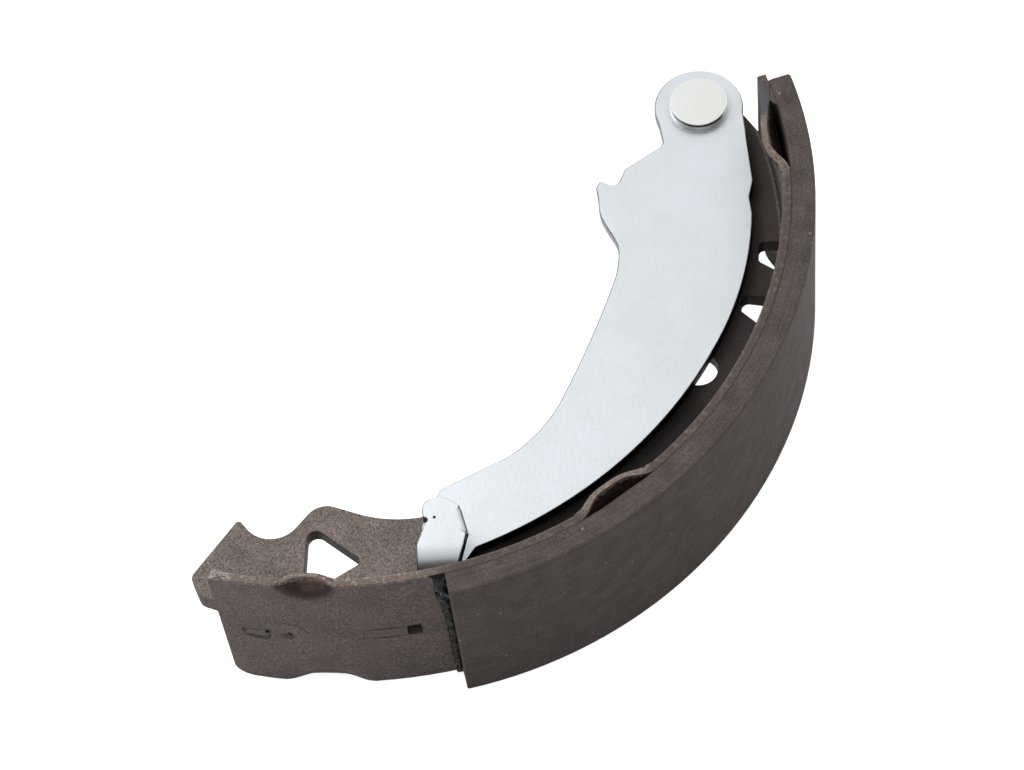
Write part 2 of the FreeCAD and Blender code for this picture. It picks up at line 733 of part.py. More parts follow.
def make_clip():
    """The horseshoe clip that sits in the pin's groove."""
    body = new_body("retaining_clip")
    ring = new_sketch(body, "clip_ring", lift=clip_bottom)
    draw_circle(ring, size["clip_outer_radius"])
    draw_circle(ring, size["pin_groove_radius"] + size["pin_groove_clearance"])
    pad(body, "clip_plate", ring, size["clip_thickness"])
    half = size["clip_mouth"] / 2
    reach = size["clip_outer_radius"] * 1.5
    axis = Value(0)
    mouth = new_sketch(body, "clip_mouth", lift=clip_top)
    draw_loop(mouth, [(-reach, -half), (axis, -half), (axis, half), (-reach, half)])
    pocket(body, "clip_opening", mouth, size["clip_thickness"])
    stand_at_pivot(body)
    return body


def make_wave_washer():
    """The wavy spring washer between web and clip, its crests at the web and its hollows at the clip."""
    thickness = size["washer_thickness"].number
    rest = clip_top.number + size["washer_contact_gap"].number
    swing = (size["washer_gap"].number - thickness - 2 * size["washer_contact_gap"].number) / 2
    waves = round(size["washer_waves"].number)
    steps = waves * 12

    def wavy_ring(radius):
        curve = Part.BSplineCurve()
        angles = [2 * math.pi * step / steps for step in range(steps)]
        curve.interpolate([Vector(radius * math.cos(angle), radius * math.sin(angle),
                                  rest + swing * (1 + math.cos(waves * angle))) for angle in angles],
                          PeriodicFlag=True)
        return curve.toShape()

    bore = size["pin_radius"].number + size["washer_bore_clearance"].number
    sheet_face = Part.makeRuledSurface(wavy_ring(bore), wavy_ring(size["washer_outer_radius"].number))
    washer = document.addObject("Part::Feature", "wave_washer")
    washer.Label = "wave_washer"
    washer.Shape = sheet_face.extrude(Vector(0, 0, thickness))
    stand_at_pivot(washer)
    return washer


def hook_corner():
    """The left end of the hook's fold line, as far out as the rim allows."""
    left = from_toe("lever_hook_shoulder")[0]
    right = left + size["hook_width"]
    reach = rim_inner - size["hook_rim_clearance"]
    bend = size["hook_gap"] / 2 + size["lever_thickness"]
    return left, bend - root(reach * reach - right * right)


def lever_outline():
    """The lever's flat blank round its head, down the inner edge, over the fold line and up the back."""
    head = size["lever_head_radius"]
    head_start = outward - size["lever_head_start"]
    head_end = outward + size["lever_head_end"]
    arcs = {
        "throat_top": -size["lever_throat_radius"],
        "throat_low": -size["lever_waist_radius"],
        "waist_low": -size["lever_tail_radius"],
        "belly_low": size["lever_belly_radius"],
        "belly_top": size["lever_back_radius"],
    }

    def edge(corners):
        return [from_toe("lever_" + name) + ((arcs[name],) if name in arcs else ()) for name in corners]

    left, fold = hook_corner()
    return [
        around(pivot, head, head_start) + (head,),
        around(pivot, head, (head_start + head_end) / 2) + (head,),
        around(pivot, head, head_end),
    ] + edge(LEVER_INNER_CORNERS) + [
        (left, fold),
        (left + size["hook_width"], fold),
    ] + edge(LEVER_OUTER_CORNERS)


def make_lever():
    """The plated lever: a flat blank with a bore, its lower end folded up and back into a cable hook."""
    body = new_body("handbrake_lever")
    blank = new_sketch(body, "lever_blank", lift=web_top)
    draw_loop(blank, lever_outline())
    pad(body, "lever_plate", blank, size["lever_thickness"])
    round_upright(body, rounds_of(LEVER_INNER_CORNERS, "lever_", from_toe))
    round_upright(body, rounds_of(LEVER_OUTER_CORNERS, "lever_", from_toe))

    left, fold = hook_corner()
    sheet_thickness = size["lever_thickness"]
    overlap = fold + size["hook_overlap"]
    inner = size["hook_gap"] / 2
    outer = inner + sheet_thickness
    middle = lever_top + inner
    flap_bottom = lever_top + size["hook_gap"]
    flap_top = flap_bottom + sheet_thickness
    profile = new_sketch(body, "hook_profile", "YZ_Plane", lift=left)
    draw_loop(profile, [
        (overlap, web_top),
        (overlap, lever_top),
        (fold, lever_top, -inner),
        (fold - inner, middle, -inner),
        (fold, flap_bottom),
        (overlap, flap_bottom),
        (overlap, flap_top),
        (fold, flap_top, outer),
        (fold - outer, middle, outer),
        (fold, web_top),
    ])
    pad(body, "hook_fold", profile, size["hook_width"])

    def flap_point(name):
        return left + size[name + "_across"], fold + size[name + "_up"]

    flap = new_sketch(body, "hook_flap", lift=flap_bottom)
    draw_loop(flap, [(left + size["hook_width"], fold), (left, fold)]
              + [flap_point(name) for name in HOOK_CORNERS])
    pad(body, "hook_flap_plate", flap, sheet_thickness)
    round_upright(body, rounds_of(HOOK_CORNERS, "", flap_point))

    bore = new_sketch(body, "lever_bore", lift=lever_top)
    draw_circle(bore, size["pin_radius"] + size["pin_lever_clearance"], pivot)
    pocket(body, "lever_bore_cut", bore, sheet_thickness)
    return body


def finished(part):
    """The part's shape, once it is sure to be a sound solid."""
    shape = part.Shape
    if shape.isNull() or not shape.isValid() or len(shape.Solids) != 1:
        raise RuntimeError(part.Label + " is not one valid solid")
    return shape


def main():
    makers = (make_web, make_rim, make_lining, make_adhesive, make_pin, make_clip, make_wave_washer,
              make_lever)
    parts = [maker() for maker in makers]
    document.recompute()
    for item in document.Objects:
        if "Invalid" in item.State or "Error" in item.State:
            raise RuntimeError("%s failed: %s" % (item.Label, item.State))
    os.makedirs("parts", exist_ok=True)
    for part in parts:
        shape = finished(part)
        shape.exportStep("parts/%s.step" % part.Label)
        print("%-16s %9.1f mm3" % (part.Label, shape.Volume))
    print("pivot at %.3f, %.3f" % (pivot[0].number, pivot[1].number))


main()
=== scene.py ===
# %% [markdown]
# # A drum brake shoe with its handbrake lever
#
# This lesson dresses a finished engineering model of a brake shoe. The model comes in as a fixed frame:
# every piece already has its true size and place, in metres. What is left to do is what a camera sees,
# which is the softness of the edges, the traces of how each piece was made, and the surfaces.

# %% Load the frame
import json
import math

import bmesh
import bpy
from mathutils import Matrix, Vector, noise
from mathutils.bvhtree import BVHTree

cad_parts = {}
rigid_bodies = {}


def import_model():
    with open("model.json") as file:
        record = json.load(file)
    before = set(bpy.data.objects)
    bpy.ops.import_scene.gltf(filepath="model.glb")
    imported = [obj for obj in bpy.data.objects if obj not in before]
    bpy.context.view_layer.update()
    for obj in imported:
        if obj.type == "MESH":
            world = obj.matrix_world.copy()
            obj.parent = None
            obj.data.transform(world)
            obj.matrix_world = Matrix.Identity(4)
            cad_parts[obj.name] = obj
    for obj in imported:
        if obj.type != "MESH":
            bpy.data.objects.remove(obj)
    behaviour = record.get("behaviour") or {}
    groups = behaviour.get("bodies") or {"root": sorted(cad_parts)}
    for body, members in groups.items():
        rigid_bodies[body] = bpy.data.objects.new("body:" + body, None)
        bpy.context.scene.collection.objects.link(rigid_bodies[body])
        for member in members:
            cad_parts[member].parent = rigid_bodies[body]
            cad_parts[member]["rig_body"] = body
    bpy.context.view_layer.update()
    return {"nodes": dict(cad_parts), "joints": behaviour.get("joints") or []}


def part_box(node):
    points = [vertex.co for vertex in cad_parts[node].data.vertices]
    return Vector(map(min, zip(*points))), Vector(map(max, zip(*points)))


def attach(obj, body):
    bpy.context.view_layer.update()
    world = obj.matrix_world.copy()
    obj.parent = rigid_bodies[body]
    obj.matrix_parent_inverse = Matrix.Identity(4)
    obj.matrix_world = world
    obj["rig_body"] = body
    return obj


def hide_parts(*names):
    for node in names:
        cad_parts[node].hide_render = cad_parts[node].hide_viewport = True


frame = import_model()

# %% [markdown]
# ## Units and a few landmarks
#
# The drum's axis is the Z axis of the frame, so the lining, the rim and the web are all described best
# by a radius and an angle about the origin. The landmarks are measured on the frame and not typed in:
# if the engineering model changes, the dressing follows.

# %% Landmarks measured on the frame
MM = 0.001


def polar_reach(node):
    """The least and greatest radius and angle about the drum axis that a CAD node has."""
    points = [vertex.co for vertex in frame["nodes"][node].data.vertices]
    radii = [math.hypot(point.x, point.y) for point in points]
    angles = [math.atan2(point.y, point.x) for point in points]
    return min(radii), max(radii), min(angles), max(angles)


lining_inner, drum_radius, lining_heel, _ = polar_reach("friction_lining")
heel_angle = math.degrees(lining_heel)
rim_bottom, rim_top = (painted_corner_light.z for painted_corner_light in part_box("shoe_rim"))
web_bottom, web_top = (painted_corner_light.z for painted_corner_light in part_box("shoe_web"))
lever_bottom, hook_top = (painted_corner_light.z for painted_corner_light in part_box("handbrake_lever"))
film_bottom, film_top = (painted_corner_light.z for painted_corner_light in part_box("lining_adhesive"))
pin_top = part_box("pivot_pin")[1].z
pivot = Vector(frame["joints"][0]["pos_m"])
print("drum radius %.1f mm, rim %.1f mm wide" % (drum_radius / MM, (rim_top - rim_bottom) / MM))

# %% [markdown]
# ## The camera
#
# The camera stands where the photographer stood: almost above the shoe, tipped back by thirty degrees,
# with a long lens. A long lens from far away keeps the arc of the lining close to a true ellipse.

# %% Place the camera
CAMERA_PLACE = (0.08021, -0.42106, 0.68691)
CAMERA_TURN = (30.10, 4.15, 0)

camera = bpy.data.objects.new("camera", bpy.data.cameras.new("camera"))
camera.data.sensor_width = 36
camera.data.lens = 123.05
camera.data.clip_start = 0.05
camera.location = CAMERA_PLACE
camera.rotation_euler = [math.radians(turn) for turn in CAMERA_TURN]
bpy.context.scene.collection.objects.link(camera)
bpy.context.scene.camera = camera
print("camera %.2f m from the drum axis" % camera.location.length)

# %% [markdown]
# ## Building materials from nodes
#
# Every finish below is a small network of nodes that starts from object coordinates, so that a pattern
# stays at its real size in metres and sticks to its piece when the piece moves. The first helpers start a
# material, add a node with its sockets filled or connected, and do one step of arithmetic.

# %% Helpers that start a material and add a node
def start_material(name, metallic, roughness, specular=0.5):
    """A new material, its node tree, its surface shader and its object coordinates."""
    material = bpy.data.materials.new(name)
    material.use_nodes = True
    tree = material.node_tree
    shader = tree.nodes["Principled BSDF"]
    shader.inputs["Metallic"].default_value = metallic
    shader.inputs["Roughness"].default_value = roughness
    shader.inputs["Specular IOR Level"].default_value = specular
    place = tree.nodes.new("ShaderNodeTexCoord").outputs["Object"]
    return material, tree, shader, place


def add_node(tree, kind, inputs=None, **settings):
    """Adds a node. Its inputs are sockets to connect or plain values, under their names or numbers."""
    made = tree.nodes.new("ShaderNode" + kind)
    for name, value in settings.items():
        setattr(made, name, value)
    for name, value in (inputs or {}).items():
        if isinstance(value, bpy.types.NodeSocket):
            tree.links.new(value, made.inputs[name])
        else:
            made.inputs[name].default_value = value
    return made


def combine(tree, operation, first, second=0.0):
    """One step of arithmetic on two values or sockets."""
    return add_node(tree, "Math", {0: first, 1: second}, operation=operation).outputs[0]


def times(tree, first, second):
    return combine(tree, "MULTIPLY", first, second)


def minus(tree, first, second):
    return combine(tree, "SUBTRACT", first, second)


def largest(tree, values):
    """The largest of several values, for soft shapes that lie side by side."""
    result = values[0]
    for value in values[1:]:
        result = combine(tree, "MAXIMUM", result, value)
    return result


# %% [markdown]
# A finish is mostly noise that is spread over a useful range and turned into colour. These helpers each
# do one of those steps, and the last one turns a grey value into a relief.

# %% Helpers for noise, colour and relief
def speckle(tree, place, size, detail=2.0, stretch=(1, 1, 1)):
    """Soft noise whose spots are about one size across, stretched along an axis if wanted."""
    scale = [1 / (size * part) for part in stretch]
    scaled = add_node(tree, "Mapping", {"Vector": place, "Scale": scale}).outputs[0]
    return add_node(tree, "TexNoise", {"Vector": scaled, "Scale": 1.0, "Detail": detail}).outputs["Fac"]


def remap(tree, value, low, high, to_low=0.0, to_high=1.0):
    """Spreads a stretch of a value over another, smoothly and within its ends."""
    ends = {"Value": value, "From Min": low, "From Max": high, "To Min": to_low, "To Max": to_high}
    return add_node(tree, "MapRange", ends, interpolation_type="SMOOTHSTEP").outputs["Result"]


def shades(tree, factor, stops):
    """A colour ramp through (position, colour) stops."""
    ramp = add_node(tree, "ValToRGB", {"Fac": factor})
    elements = ramp.color_ramp.elements
    while len(elements) < len(stops):
        elements.new(0.5)
    for element, (position, color) in zip(elements, stops):
        element.position = position
        element.color = (*color, 1)
    return ramp.outputs["Color"]


def blend_colors(tree, factor, first, second):
    """Mixes two colours, each a socket or a plain colour."""
    mix = add_node(tree, "Mix", data_type="RGBA", blend_type="MIX")
    for socket, value in ((mix.inputs[0], factor), (mix.inputs[6], first), (mix.inputs[7], second)):
        if isinstance(value, bpy.types.NodeSocket):
            tree.links.new(value, socket)
        else:
            socket.default_value = value if isinstance(value, float) else (*value, 1)
    return mix.outputs[2]


def toned(color, red, green, blue):
    """A colour with its three parts scaled."""
    return color[0] * red, color[1] * green, color[2] * blue


def bump(tree, shader, height, depth):
    """Gives the shader a relief of a real depth in metres."""
    relief = add_node(tree, "Bump", {"Height": height, "Distance": depth, "Strength": 1.0})
    tree.links.new(relief.outputs[0], shader.inputs["Normal"])


# %% [markdown]
# ## Coordinates that run round the drum
#
# Rolling marks, grinding scratches and pressed dents all follow the drum, so these helpers unroll the
# shoe. The first gives an angle, a height, a radius and a flat map of all three. Others mark out a soft
# ellipse or a soft arc on it, and tell which way the surface looks.

# %% Helpers that unroll the shoe
def flattened(tree, place):
    """Where a place is across the drum's axis, with its height left out."""
    return add_node(tree, "VectorMath", {0: place, 1: (1, 1, 0)}, operation="MULTIPLY").outputs[0]


def unroll(tree, place):
    """The angle about the drum axis in degrees, the height, the radius, and a map of all three in metres."""
    parts = add_node(tree, "SeparateXYZ", {"Vector": place}).outputs
    turn = combine(tree, "ARCTAN2", parts["Y"], parts["X"])
    radius = add_node(tree, "VectorMath", {0: flattened(tree, place)}, operation="LENGTH").outputs["Value"]
    arc = times(tree, turn, drum_radius)
    spread = add_node(tree, "CombineXYZ", {"X": arc, "Y": radius, "Z": parts["Z"]}).outputs[0]
    return times(tree, turn, math.degrees(1)), parts["Z"], radius, spread


def spot(tree, across, along, half_across, half_along, softness=0.3):
    """One inside an ellipse of two measures, and nothing outside it."""
    first = combine(tree, "DIVIDE", across, half_across)
    second = combine(tree, "DIVIDE", along, half_along)
    squares = combine(tree, "ADD", times(tree, first, first), times(tree, second, second))
    return remap(tree, combine(tree, "SQRT", squares), 1 - softness, 1.0, 1.0, 0.0)


def spot_at(tree, angle, height, middle, half, softness):
    """A spot whose middle and half sizes are given in degrees along the rim and millimetres up it."""
    across = minus(tree, angle, middle[0])
    along = minus(tree, height, middle[1] * MM)
    return spot(tree, across, along, half[0], half[1] * MM, softness)


def arc_at(tree, angle, middle, half, softness):
    """One along a stretch of the drum's arc, whatever the height."""
    return spot(tree, minus(tree, angle, middle), 0.0, half, 1.0, softness)


def facing(tree, place):
    """The three parts of the way in which the surface looks."""
    return add_node(tree, "SeparateXYZ", {"Vector": place.node.outputs["Normal"]}).outputs


def facing_out(tree, place):
    """One where the surface looks away from the drum's axis, and minus one where it looks at it."""
    outward = add_node(tree, "VectorMath", {0: flattened(tree, place)}, operation="NORMALIZE").outputs[0]
    ways = {0: outward, 1: place.node.outputs["Normal"]}
    return add_node(tree, "VectorMath", ways, operation="DOT_PRODUCT").outputs["Value"]


# %% [markdown]
# ## Zinc plating
#
# The lever and the pin are barrel-plated: a thin bright coat with a cold bluish cast. It isn't a mirror.
# The steel under it keeps the faint grain of the rolling mill, the coat is clouded in soft patches, and
# the tumbling in the barrel leaves short fine scratches in all directions. Painted shade darkens the coat
# where the surface is steep, as in the fold, and on surfaces that look to the left, where it dims the
# lamp's highlight on the rounded edges. The sheared walls that look to the front or to the right get a dark
# zinc of their own, which is painted shade, while the walls that look to the left keep the bright coat.

# %% Make the zinc plating
ZINC = (0.74, 0.775, 0.81)
SHADED_WALL_ZINC = (0.085, 0.085, 0.087)
PIN_ZINC = (0.84, 0.865, 0.84)


def make_zinc(name, color, roughness, steep_darkening=0.88, left_darkening=0.85):
    """Plated steel with painted shade: darker by one share where the surface is steep, and by another on
    surfaces that look to the left, where it dims the lamp's highlight.
    """
    material, tree, shader, place = start_material(name, 0.95, roughness)
    clouds = speckle(tree, place, 11 * MM, 3)
    mottle = speckle(tree, place, 0.8 * MM, 3)
    grain = speckle(tree, place, 0.45 * MM, 2, (0.7, 8, 3))
    warm = toned(color, 0.955, 0.955, 0.935)
    cold = toned(color, 1.0, 1.005, 1.02)
    coat = shades(tree, clouds, [(0.36, warm), (0.64, cold)])
    flecks = remap(tree, mottle, 0.58, 0.72, 0.0, 0.45)
    coat = blend_colors(tree, flecks, coat, toned(color, 0.84, 0.84, 0.84))
    ways = facing(tree, place)
    # Painted shade: steep surfaces, such as the fold and the walls, are darkened as if they lay in shade.
    painted_steep_shade = remap(tree, combine(tree, "ABSOLUTE", ways["Z"]), 0.45, 0.93, steep_darkening, 0.0)
    coat = blend_colors(tree, painted_steep_shade, coat, toned(color, 0.22, 0.25, 0.28))
    # Painted shade on surfaces that look to the left, which dims the lamp's highlight on the rounded edges.
    painted_left_shade = remap(tree, ways["X"], -0.24, -0.06, left_darkening, 0.0)
    coat = blend_colors(tree, painted_left_shade, coat, toned(color, 0.13, 0.13, 0.13))
    tree.links.new(coat, shader.inputs["Base Color"])
    dullness = remap(tree, mottle, 0.3, 0.7, roughness - 0.04, roughness + 0.06)
    tree.links.new(dullness, shader.inputs["Roughness"])
    bump(tree, shader, combine(tree, "ADD", grain, times(tree, mottle, 0.6)), 0.010 * MM)
    return material


zinc = make_zinc("zinc_plating", ZINC, 0.36)
# The dark zinc is painted shade. It goes on the lever's walls that look to the front or to the right, and in
# the pin's groove.
shaded_wall_zinc = make_zinc("dark_zinc_painted_shade", SHADED_WALL_ZINC, 0.45)
pin_zinc = make_zinc("pin_plating", PIN_ZINC, 0.34, 0.0, 0.35)
print("zinc plating: %d nodes" % len(zinc.node_tree.nodes))

# %% [markdown]
# ## Where the marks are on the shoe
#
# Each mark on the phosphated steel has a place on the real shoe, which is given here by an angle in
# degrees and a height in millimetres. The same values guide both the colour of a mark and its shape, so
# that a pit that is cut later has painted shade inside. A stain has its middle, its half sizes and its
# strength. The stains are weld stains on the seams, except the one at the second slot's open end, which
# is painted shade.

# %% Places of the marks
DENTS = ((-95.6, 4.6), (-53.6, 6.4), (7.2, 7.0))
DENT_REACH = 7.0 * MM
DISH = (-99.45, 22.4)
PITS = ((-102.05, 23.6, 0.45), (-99.06, 23.1, 0.55))
PIT_TALL = 1.8
# The stain at -82.95 degrees is painted shade on the block in the second slot's open end. The others are weld
# stains on the seams.
SEAM_STAINS_AND_SLOT_SHADE = ((-105.1, 23.2, 0.5, 1.5, 0.95), (-104.4, 21.2, 1.0, 0.8, 0.9), (-103.0, 20.5, 1.8, 1.1, 0.8),
               (-103.7, 24.0, 1.7, 0.45, 0.8), (-82.95, 23.0, 1.3, 2.5, 0.95), (-86.8, 24.95, 2.8, 0.4, 0.8),
               (-86.9, 20.95, 2.5, 0.45, 0.8))
print("%d dents in each edge, %d pits, %d stains" % (len(DENTS), len(PITS), len(SEAM_STAINS_AND_SLOT_SHADE)))

# %% [markdown]
# ## Phosphated steel
#
# Web and rim are welded together and then phosphated: the bath grows a dull, finely crystalline
# brown-grey coat. Close up it is a salt-and-pepper of dark, middle and pale grains, with soft clouds over
# it. The weld leaves dark stains along the seams of the tabs.

# %% Helpers for the coat and its stains
def grainy(tree, vector, size, dark, middle, pale, stretch=(1, 1, 1)):
    """The salt-and-pepper of a crystalline coat: its grain and its colour."""
    grains = speckle(tree, vector, size, 3, stretch)
    blotches = speckle(tree, vector, 7 * MM, 3)
    base = shades(tree, grains, [(0.30, dark), (0.50, middle), (0.70, pale)])
    cloud = remap(tree, blotches, 0.3, 0.7, 0.88, 1.12)
    return grains, add_node(tree, "HueSaturation", {"Value": cloud, "Color": base}).outputs[0]


def with_marks(tree, tone, angle, height):
    """Darkens the seams round the tabs with weld stains, and paints shade at the second slot's open end and
    inside the two small pits beside the first tab.
    """
    # Weld stains on the seams, and painted shade on the block in the second slot's open end.
    for middle_angle, middle_height, half_angle, half_height, strength in SEAM_STAINS_AND_SLOT_SHADE:
        stain_and_shade = spot_at(tree, angle, height, (middle_angle, middle_height), (half_angle, half_height), 0.5)
        tone = blend_colors(tree, times(tree, stain_and_shade, strength), tone, (0.018, 0.011, 0.010))
    # Painted shade inside the pits.
    for middle_angle, middle_height, size in PITS:
        half = (size / 1.5, size * PIT_TALL * 1.1)
        inside = spot_at(tree, angle, height, (middle_angle, middle_height), half, 0.35)
        tone = blend_colors(tree, inside, tone, (0.006, 0.004, 0.004))
    return tone


# %% [markdown]
# The web's coat is the palest, and its sheared walls are dark. Outside a certain radius, and beside the
# lever, painted shade darkens the plate where the lever and the rim shade it. It is thinner towards the toe
# and almost black at the middle of the arc. The ends of its tabs show through the rim, so they take the
# rim's darker grain, the stains of the seams and the painted shade of the marks.

# %% Make the web's steel
WEB_GRAINS = ((0.095, 0.076, 0.065), (0.196, 0.163, 0.142), (0.340, 0.289, 0.256))
TAB_GRAINS = ((0.30, (0.066, 0.052, 0.047)), (0.70, (0.225, 0.185, 0.170)))
# The radii and angles of the painted shade on the web between the lever and the rim.
SHADE_RADII = (73 * MM, 79 * MM)
SHADE_START = (-76.5, -74.0)
SHADE_THINS = (-12.0, 4.0)
DEEPEST_SHADE_ARC = (-50.0, 25.0)


def make_web_steel(name):
    material, tree, shader, place = start_material(name, 0.1, 0.6, 0.10)
    angle, height, radius, _ = unroll(tree, place)
    grains, tone = grainy(tree, place, 0.34 * MM, *WEB_GRAINS)
    sheared = remap(tree, combine(tree, "ABSOLUTE", facing(tree, place)["Z"]), 0.2, 0.7, 0.8, 0.0)
    tone = blend_colors(tree, sheared, tone, (0.030, 0.024, 0.021))
    # Painted shade: the web beside the lever and near the rim is darkened where the lever and the rim shade
    # it.
    web_shade = times(tree, remap(tree, radius, *SHADE_RADII), remap(tree, angle, *SHADE_START))
    tone = blend_colors(tree, times(tree, web_shade, 0.9), tone, (0.037, 0.031, 0.030))
    thinner_shade = times(tree, web_shade, remap(tree, angle, *SHADE_THINS, 0.0, 0.5))
    tone = blend_colors(tree, thinner_shade, tone, (0.090, 0.074, 0.067))
    deepest_shade = times(tree, web_shade, arc_at(tree, angle, *DEEPEST_SHADE_ARC, 0.35))
    tone = blend_colors(tree, times(tree, deepest_shade, 0.6), tone, (0.005, 0.005, 0.005))
    on_tab = remap(tree, radius, lining_inner - 3.2 * MM, lining_inner - 2.8 * MM)
    tab = with_marks(tree, shades(tree, grains, TAB_GRAINS), angle, height)
    tree.links.new(blend_colors(tree, on_tab, tone, tab), shader.inputs["Base Color"])
    bump(tree, shader, grains, 0.05 * MM)
    return material


web_steel = make_web_steel("web_phosphate")
print("web steel: %d nodes" % len(web_steel.node_tree.nodes))

# %% [markdown]
# ## The rim's dents and its edge
#
# The coat inside the pressed dents is darker and redder, most of all in the heart of the heel's dent. The
# rim's upper edge, which rubs on the backplate, has its own colours: worn to a light tan with rusty flecks
# over the bare heel end, pale where the dents pushed it inwards, and at the toe a bluish painted sheen on
# the rolled inner corner.

# %% Helpers for the colours of the rim
HEEL_WEAR = (-82.0, -76.5)
HEEL_TIP = (-105.6, -104.6)
TOE_SHEEN_ANGLES = (10.5, 12.5)
TOE_SHEEN_RADII = (93.2 * MM, 93.8 * MM)


def in_dents(tree, tone, place, angle, from_edge):
    """Darkens the coat inside the dents, and reddens the heart of the heel's dent."""
    pressed = largest(tree, [spot(tree, minus(tree, angle, middle), from_edge, half, DENT_REACH)
                             for middle, half in DENTS])
    blots = speckle(tree, place, 1.1 * MM, 3)
    rusty = shades(tree, blots, [(0.35, (0.022, 0.015, 0.013)), (0.65, (0.058, 0.037, 0.031))])
    tone = blend_colors(tree, pressed, tone, rusty)
    middle, half = DENTS[0]
    heart = spot(tree, minus(tree, angle, middle + 0.6), from_edge, half * 0.5, 5.0 * MM, 0.5)
    ruddy = shades(tree, blots, [(0.35, (0.070, 0.042, 0.036)), (0.65, (0.150, 0.100, 0.086))])
    return blend_colors(tree, heart, tone, ruddy)


def on_edge(tree, place, height, from_edge, grains):
    """One on the upper edge and on a ragged lip under it, broken up by the grain."""
    ragged = times(tree, speckle(tree, place, 0.9 * MM, 3), 1.9 * MM)
    lip = remap(tree, minus(tree, from_edge, ragged), -0.35 * MM, 0.0, 1.0, 0.0)
    upper = remap(tree, height, rim_top - 2 * MM, rim_top - 1.9 * MM)
    upward = remap(tree, facing(tree, place)["Z"], 0.45, 0.75)
    edge = combine(tree, "MAXIMUM", upward, times(tree, lip, upper))
    return times(tree, edge, remap(tree, grains, 0.30, 0.55, 0.35, 1.0))


def edge_colors(tree, place, angle, radius, grains):
    """The colours along the upper edge, from the worn heel to the painted sheen on the toe's inner corner."""
    flecks = remap(tree, speckle(tree, place, 1.3 * MM, 3), 0.50, 0.66)
    bare = remap(tree, speckle(tree, place, 0.7 * MM, 3), 0.54, 0.70)
    worn = blend_colors(tree, flecks, (0.215, 0.178, 0.150), (0.26, 0.185, 0.135))
    worn = blend_colors(tree, bare, worn, (0.46, 0.40, 0.34))
    tip = times(tree, remap(tree, angle, *HEEL_TIP, 1.0, 0.0), remap(tree, grains, 0.4, 0.6))
    worn = blend_colors(tree, tip, worn, (0.46, 0.42, 0.37))
    plain = blend_colors(tree, flecks, (0.112, 0.090, 0.081), (0.18, 0.145, 0.126))
    pale = blend_colors(tree, flecks, (0.225, 0.175, 0.150), (0.31, 0.25, 0.215))
    pressed = largest(tree, [arc_at(tree, angle, middle, half, 0.4) for middle, half in DENTS[1:]])
    plain = blend_colors(tree, pressed, plain, pale)
    # Painted sheen: the rolled inner corner at the toe is given a bluish grey.
    painted_sheen = times(tree, remap(tree, angle, *TOE_SHEEN_ANGLES), remap(tree, radius, *TOE_SHEEN_RADII, 1.0, 0.0))
    plain = blend_colors(tree, painted_sheen, plain, (0.095, 0.108, 0.120))
    return blend_colors(tree, remap(tree, angle, *HEEL_WEAR, 1.0, 0.0), plain, worn)


# %% [markdown]
# The rim's coat is built up in layers: the grain, the dents, the stain in the small dish, the seam stains
# and the painted shade in the pits, the painted shade on the inner face, and last the upper edge. Its grain
# is drawn on the unrolled map, so that it runs a little along the strip.

# %% Make the rim's steel
RIM_GRAINS = ((0.072, 0.056, 0.051), (0.150, 0.119, 0.110), (0.275, 0.226, 0.210))
DISH_STAIN = (1.15, 1.9)


def make_rim_steel(name):
    material, tree, shader, place = start_material(name, 0.1, 0.6, 0.10)
    angle, height, radius, spread = unroll(tree, place)
    grains, tone = grainy(tree, spread, 0.36 * MM, *RIM_GRAINS, (1.3, 1, 1))
    from_middle = combine(tree, "ABSOLUTE", minus(tree, height, (rim_bottom + rim_top) / 2))
    from_edge = minus(tree, (rim_top - rim_bottom) / 2, from_middle)
    tone = in_dents(tree, tone, place, angle, from_edge)
    dished = spot_at(tree, angle, height, DISH, DISH_STAIN, 0.6)
    tone = blend_colors(tree, times(tree, dished, 0.6), tone, (0.035, 0.023, 0.019))
    tone = with_marks(tree, tone, angle, height)
    # Painted shade: the inner face, which looks towards the drum's axis, is darkened as if in shade.
    inner_face_shade = remap(tree, facing_out(tree, place), -0.7, -0.4, 0.7, 0.0)
    tone = blend_colors(tree, inner_face_shade, tone, (0.045, 0.037, 0.034))
    edge = edge_colors(tree, place, angle, radius, grains)
    tone = blend_colors(tree, on_edge(tree, place, height, from_edge, grains), tone, edge)
    tree.links.new(tone, shader.inputs["Base Color"])
    bump(tree, shader, grains, 0.05 * MM)
    return material


rim_steel = make_rim_steel("rim_phosphate")
print("rim steel: %d nodes" % len(rim_steel.node_tree.nodes))

# %% [markdown]
# ## Friction material
#
# The lining is moulded from resin, fibres, rubber and metal dust, and its face is ground to the drum.
# Up close it is dark brown-grey with many tiny pale specks, a few larger grey ones, and on the ground
# face fine scratches that run round the drum. Its rounded corner is painted a little paler, as painted light.

# %% Make the friction material
FRICTION_GRAINS = ((0.20, (0.057, 0.045, 0.041)), (0.5, (0.104, 0.085, 0.078)), (0.80, (0.184, 0.154, 0.141)))
SMALL_SPECKS = (1.3 * MM, 0.30, 0.16, (0.20, 0.17, 0.15))
LARGE_SPECKS = (4.5 * MM, 0.35, 0.09, (0.42, 0.40, 0.38))


def with_specks(tree, tone, place, cell, share, width, color):
    """Puts a round speck into a share of the cells of a loose pattern, as wide as a part of the cell."""
    cells = add_node(tree, "TexVoronoi", {"Vector": place, "Scale": 1 / cell})
    lot = add_node(tree, "SeparateColor", {"Color": cells.outputs["Color"]}).outputs[0]
    inside = remap(tree, cells.outputs["Distance"], width / 2, width, 1.0, 0.0)
    speck = times(tree, inside, remap(tree, lot, 1 - share, 1 - share + 0.02))
    return blend_colors(tree, times(tree, speck, 0.6), tone, color)


